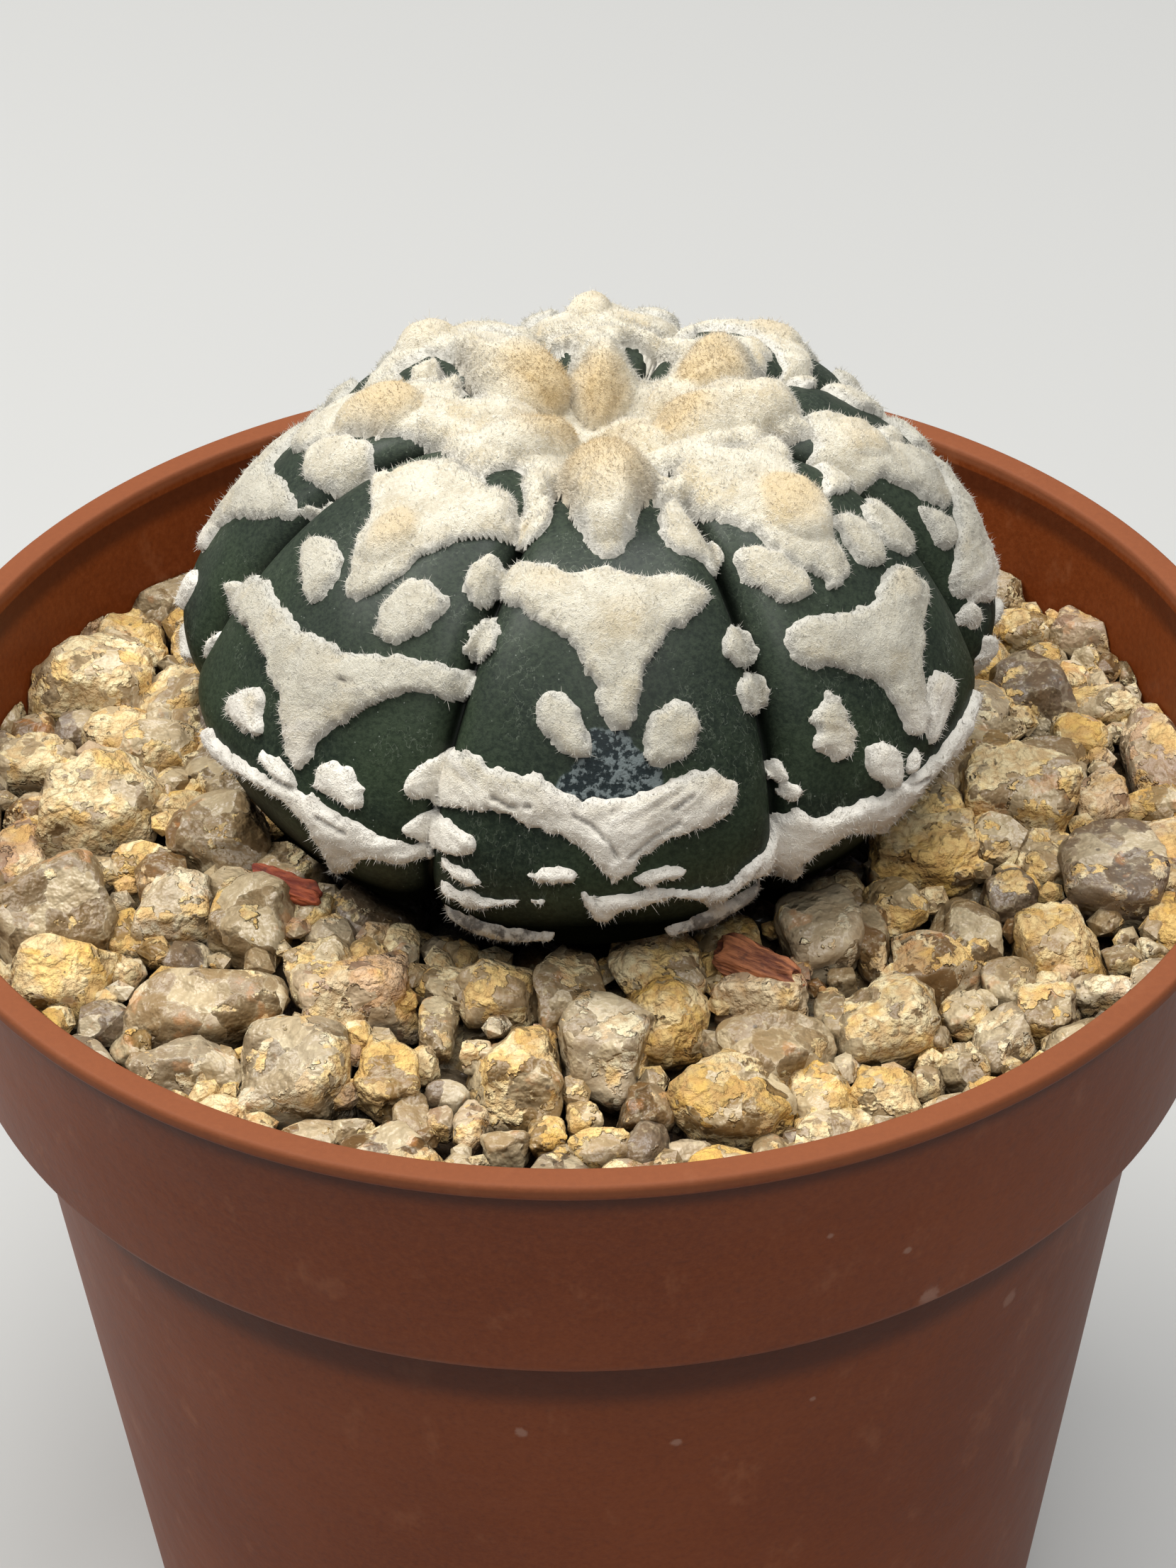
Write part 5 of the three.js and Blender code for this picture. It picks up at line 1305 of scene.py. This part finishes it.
def wool_material():
    """Cream felt of fine curled hairs with a whiter rim, tan on the areoles, lilac grey where it is
    old, and brown in its cracks. It has painted shade half way down, painted light below that, and
    patchy painted shade at the foot."""
    p = Paint("areole_wool", Roughness=0.95, Sheen_Weight=0.1, Sheen_Roughness=0.5)
    mm = p.place()
    high, clump, hair = p.part(mm, 2), p.cloud(mm, 0.8, 4), p.cloud(mm, 6, 5, 0.75)
    tan, streak = p.value("tan"), p.value("streak")
    base = p.blend(clump.ramp(0.36, 0.62), srgb(208, 198, 174), srgb(232, 224, 202))
    base = p.coats(
        base,
        (p.cloud(mm, 0.45, 3).ramp(0.52, 0.7) * 0.6, 208, 188, 146),
        (hair.ramp(0.48, 0.3) * 0.5, 184, 168, 136),
        (hair.ramp(0.5, 0.66) * 0.6, 244, 239, 226),
        (p.value("rim").ramp(0.2, 0.8) * 0.7, 240, 237, 228),
        (tan * (0.4 + clump * 0.8), 207, 183, 138),
    )
    aged = p.blend(clump.ramp(0.35, 0.65), srgb(170, 158, 152), srgb(206, 196, 192))
    # Patchy painted shade on the wool at the foot, under the plant
    foot_shade = p.cloud(mm, 0.9, 4, 0.65).ramp(0.42, 0.56) * 0.6 + 0.35
    base = p.coats(
        p.blend(p.value("old") * 0.8, base, aged),
        (streak.ramp(0.15, 0.75) * 0.4, 236, 230, 222),
        (streak.ramp(-0.2, -0.8) * 0.45, 150, 134, 120),
        (p.value("crack") * 0.9, 84, 58, 36),
        # Painted shade half way down, and painted light below it
        (high.ramp(72.2, 68.6) * high.ramp(63.4, 65.6) * 0.45, 172, 170, 158),
        (high.ramp(64.8, 62.6) * 0.65, 252, 247, 234),
        (high.ramp(59.6, 56.2) * foot_shade, 54, 44, 34),
    )
    p.feed("Base Color", base)
    p.relief((hair * 1.6 + clump * 0.8) * (1 - tan * 0.5) + p.cloud(mm, 20, 2) * 0.7, 0.75, 0.2)
    return p.material


def pot_material():
    """Moulded brown plastic: even, slightly wavy, with a painted highlight on the rim's top face, painted
    shade below its ledges, and with lime marks and faint rubbed places."""
    p = Paint("pot_plastic", Roughness=0.5, Specular_IOR_Level=0.15)
    mm = p.place()
    high, grain, worn = p.part(mm, 2), p.cloud(mm, 3.5, 3, 0.7), p.cloud(mm, 1.1, 4, 0.7)
    # rim: a painted highlight on the top face of the lip, which is also rougher
    rim = (high + p.cloud(mm, 0.8, 3) * 0.3).ramp(RIM_HEIGHT - 0.5, RIM_HEIGHT - 0.25)
    base = p.coats(
        p.blend(p.cloud(mm, 0.05, 3).ramp(0.3, 0.7), srgb(100, 44, 13), srgb(112, 52, 17)),
        (grain.ramp(0.4, 0.8) * 0.4, 128, 68, 34),
        (grain.ramp(0.5, 0.2) * 0.4, 72, 32, 12),
        (p.cloud(p.place((1, 1, 0.6)), 0.35, 4, 0.7).ramp(0.56, 0.72) * 0.25, 150, 96, 64),
        (rim * 0.6, 126, 76, 50),
    )
    # Painted shade below the lip and below the band's ledge
    for ledge, fade, deep in ((RIM_HEIGHT - 0.9, 1.6, 0.7), (RIM_HEIGHT - BAND_HEIGHT, 5.2, 3.6)):
        shade = high.ramp(ledge - fade, ledge - deep) * (1 - high.ramp(ledge, ledge + 0.1))
        base = p.coats(base, (shade * 0.62, 46, 18, 8))
    lime = 0
    for x, y, z, size in LIME_MARKS:
        away = p.vector("DISTANCE", mm, (x, y, z), 1)
        mark = 1 - (away * (1 / size) + worn * 1.6 - 0.8).ramp(0.4, 0.9)
        lime = mark.math("MAXIMUM", lime, mark)
    p.feed("Base Color", p.coats(base, (lime * 0.28, 186, 160, 146)))
    p.feed("Roughness", 0.42 + grain * 0.12 + lime * 0.3 + rim * 0.2)
    p.relief(p.cloud(mm, 0.35, 2) * 2 + grain * 0.4, 0.2, 0.2)
    return p.material


def stone_material():
    """Crushed granite: crumbly crust in patches on smooth quartz that breaks in facets.

    A facet tilts by the dot product of the way from its cell's middle and a direction picked by chance."""
    p = Paint("crushed_stone", Roughness=0.6, IOR=1.5)
    mm = p.place()
    facets = 0.65
    warp = p.vector("MULTIPLY", p.cloud(mm, 0.9, 3, 0.5, 1), (1.2, 1.2, 1.2))
    bent = p.vector("ADD", mm, warp)
    chance = p.cells(bent, facets, "Color")
    pick, other = p.part(chance, 0), p.part(chance, 1)
    patch, fine, crumbs = p.cloud(mm, 0.55, 4, 0.6), p.cloud(mm, 3, 4, 0.65), p.cells(bent, 2.1)
    quartz = (patch * 2.2 + pick * 0.35 + p.value("glassy") * 0.8 - 1.62).ramp(-0.04, 0.04)
    crust = p.coats(
        p.value("crust", "Color"),
        (other * 0.75, 252, 238, 194),
        (p.cloud(mm, 0.42, 3).ramp(0.48, 0.6) * 0.55, 232, 186, 86),
        (crumbs.ramp(0.35, 0.75) * 0.45, 184, 136, 78),
        (fine.ramp(0.44, 0.32) * 0.35, 152, 108, 60),
    )
    edge = p.cells(bent, facets, feature="DISTANCE_TO_EDGE")
    glass = p.coats(
        p.value("quartz", "Color"),
        (other * 0.5, 112, 92, 64),
        (pick.ramp(0.55, 1) * 0.5, 222, 206, 170),
        ((1 - edge.ramp(0.0, 0.08)) * 0.14, 226, 214, 184),
        # Painted highlights on the quartz
        (fine.ramp(0.55, 0.66) * 0.35, 216, 202, 166),
    )
    rust = p.cloud(mm, 0.5, 4, 0.6)
    chosen = p.part(p.cells(mm, 1.3, "Color"), 2).ramp(0.93, 0.95)
    base = p.coats(
        p.blend(quartz, crust, glass),
        (rust.ramp(0.6, 0.68) * 0.35, 192, 128, 72),
        (rust.ramp(0.6, 0.36) * 0.32, 122, 92, 50),
        ((1 - p.cells(mm, 1.3).ramp(0.1, 0.2)) * chosen * 0.7, 58, 48, 38),
        # Painted shade, darker down in the gaps between stones
        ((1 - p.part(mm, 2).ramp(50.2, 52.4)) * 0.8, 48, 34, 20),
        # Painted shade under the plant, near black
        (p.value("shade_under_plant"), 12, 9, 6),
    )
    p.feed("Base Color", base)
    p.feed("Roughness", 0.85 - quartz * 0.55 + fine * 0.1)
    away = p.vector("SUBTRACT", bent, p.cells(bent, facets, "Position"))
    facet = p.vector("DOT_PRODUCT", away, p.vector("SUBTRACT", chance, (0.5, 0.5, 0.5)), 1)
    rough = (fine * 0.3 - crumbs * 0.26 + p.cloud(mm, 8, 3) * 0.08) * (1 - quartz * 0.85)
    p.relief(facet * (0.45 + quartz * 0.5) + rough, 1.0, 1.0)
    return p.material


def bark_material():
    """Bark with a long dark grain, brown, or red where its value says so."""
    p = Paint("bark_wood", Roughness=0.8)
    mm = p.place()
    grain = p.cloud(p.value("grain", "Color"), 2.4, 4, 0.65)
    brown = p.blend(grain.ramp(0.35, 0.65), srgb(86, 40, 24), srgb(178, 112, 72))
    red = p.blend(grain.ramp(0.35, 0.7), srgb(112, 36, 18), srgb(178, 84, 48))
    base = p.blend(p.value("red") * 0.8, brown, red)
    p.feed("Base Color", p.coats(base, (p.cloud(mm, 2, 3).ramp(0.55, 0.7) * 0.5, 60, 30, 24)))
    p.relief(grain, 0.9, 0.3)
    return p.material


def crumb_material(name, per_mm, dark, pale, fine, distance_mm, roughness):
    """Damp crumbs, each of its own brown: the grit under the stones, and the potting mix."""
    p = Paint(name, Roughness=roughness)
    mm = p.place()
    pick = p.part(p.cells(mm, per_mm, "Color"), 0)
    p.feed("Base Color", p.blend(pick, srgb(*dark), srgb(*pale)))
    p.relief(p.cells(mm, per_mm) + p.cloud(mm, fine, 3), 0.8, distance_mm)
    return p.material


def floor_material():
    """A plain pale surface."""
    p = Paint("pale_floor", Roughness=0.9)
    cloud = p.cloud(p.place(), 0.01, 2)
    p.feed("Base Color", p.blend(cloud * 0.2, srgb(172, 172, 170), srgb(166, 166, 164)))
    return p.material


# Stage
def make_stage():
    """Floor, soft studio light and the camera of the photo."""
    corners = FLOOR_HALF * np.array([(-1, -1, 0), (1, -1, 0), (1, 1, 0), (-1, 1, 0)])
    mesh = build_mesh("floor", corners, np.array([[0, 1, 2, 3]]), smooth=False)
    mesh.materials.append(floor_material())
    add_object("floor", mesh)

    world = bpy.data.worlds.new("studio")
    bpy.context.scene.world = world
    world.use_nodes = True
    sky = world.node_tree.nodes["Background"].inputs
    sky["Color"].default_value, sky["Strength"].default_value = SKY, SKY_POWER

    for name, (place, size, power, colour) in LIGHTS.items():
        light = bpy.data.lights.new(name, "AREA")
        light.shape = "DISK"
        light.size = size
        light.energy = power
        light.color = colour
        add_object(name, light).matrix_world = aimed(place, LIT_PLACE)

    camera = bpy.data.cameras.new("camera")
    camera.sensor_width = 36
    camera.lens = camera.sensor_width * FOCAL / PHOTO[1]
    camera.clip_start = 0.01
    view = add_object("camera", camera)
    view.matrix_world = camera_place()
    bpy.context.scene.camera = view
    bpy.context.scene.view_settings.view_transform = "Standard"


def aimed(place, target, roll=0.0):
    """A matrix at a place that looks down its own -Z at a target, rolled about that line."""
    look = (Vector(target) - Vector(place)).normalized()
    right = look.cross(Vector((0, 0, 1))).normalized()
    up = right.cross(look)
    rolled = right * math.cos(roll) + up * math.sin(roll)
    upward = up * math.cos(roll) - right * math.sin(roll)
    matrix = Matrix((rolled, upward, -look)).transposed().to_4x4()
    matrix.translation = Vector(place)
    return matrix


make_stage()
make_skin()
make_wool()
make_pot()
make_bed()
make_gravel()
make_bark()
soil = crumb_material("potting_mix", 0.9, (38, 26, 18), (84, 62, 44), 3, 0.5, 0.95)
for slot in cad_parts["soil"].material_slots:
    slot.material = soil
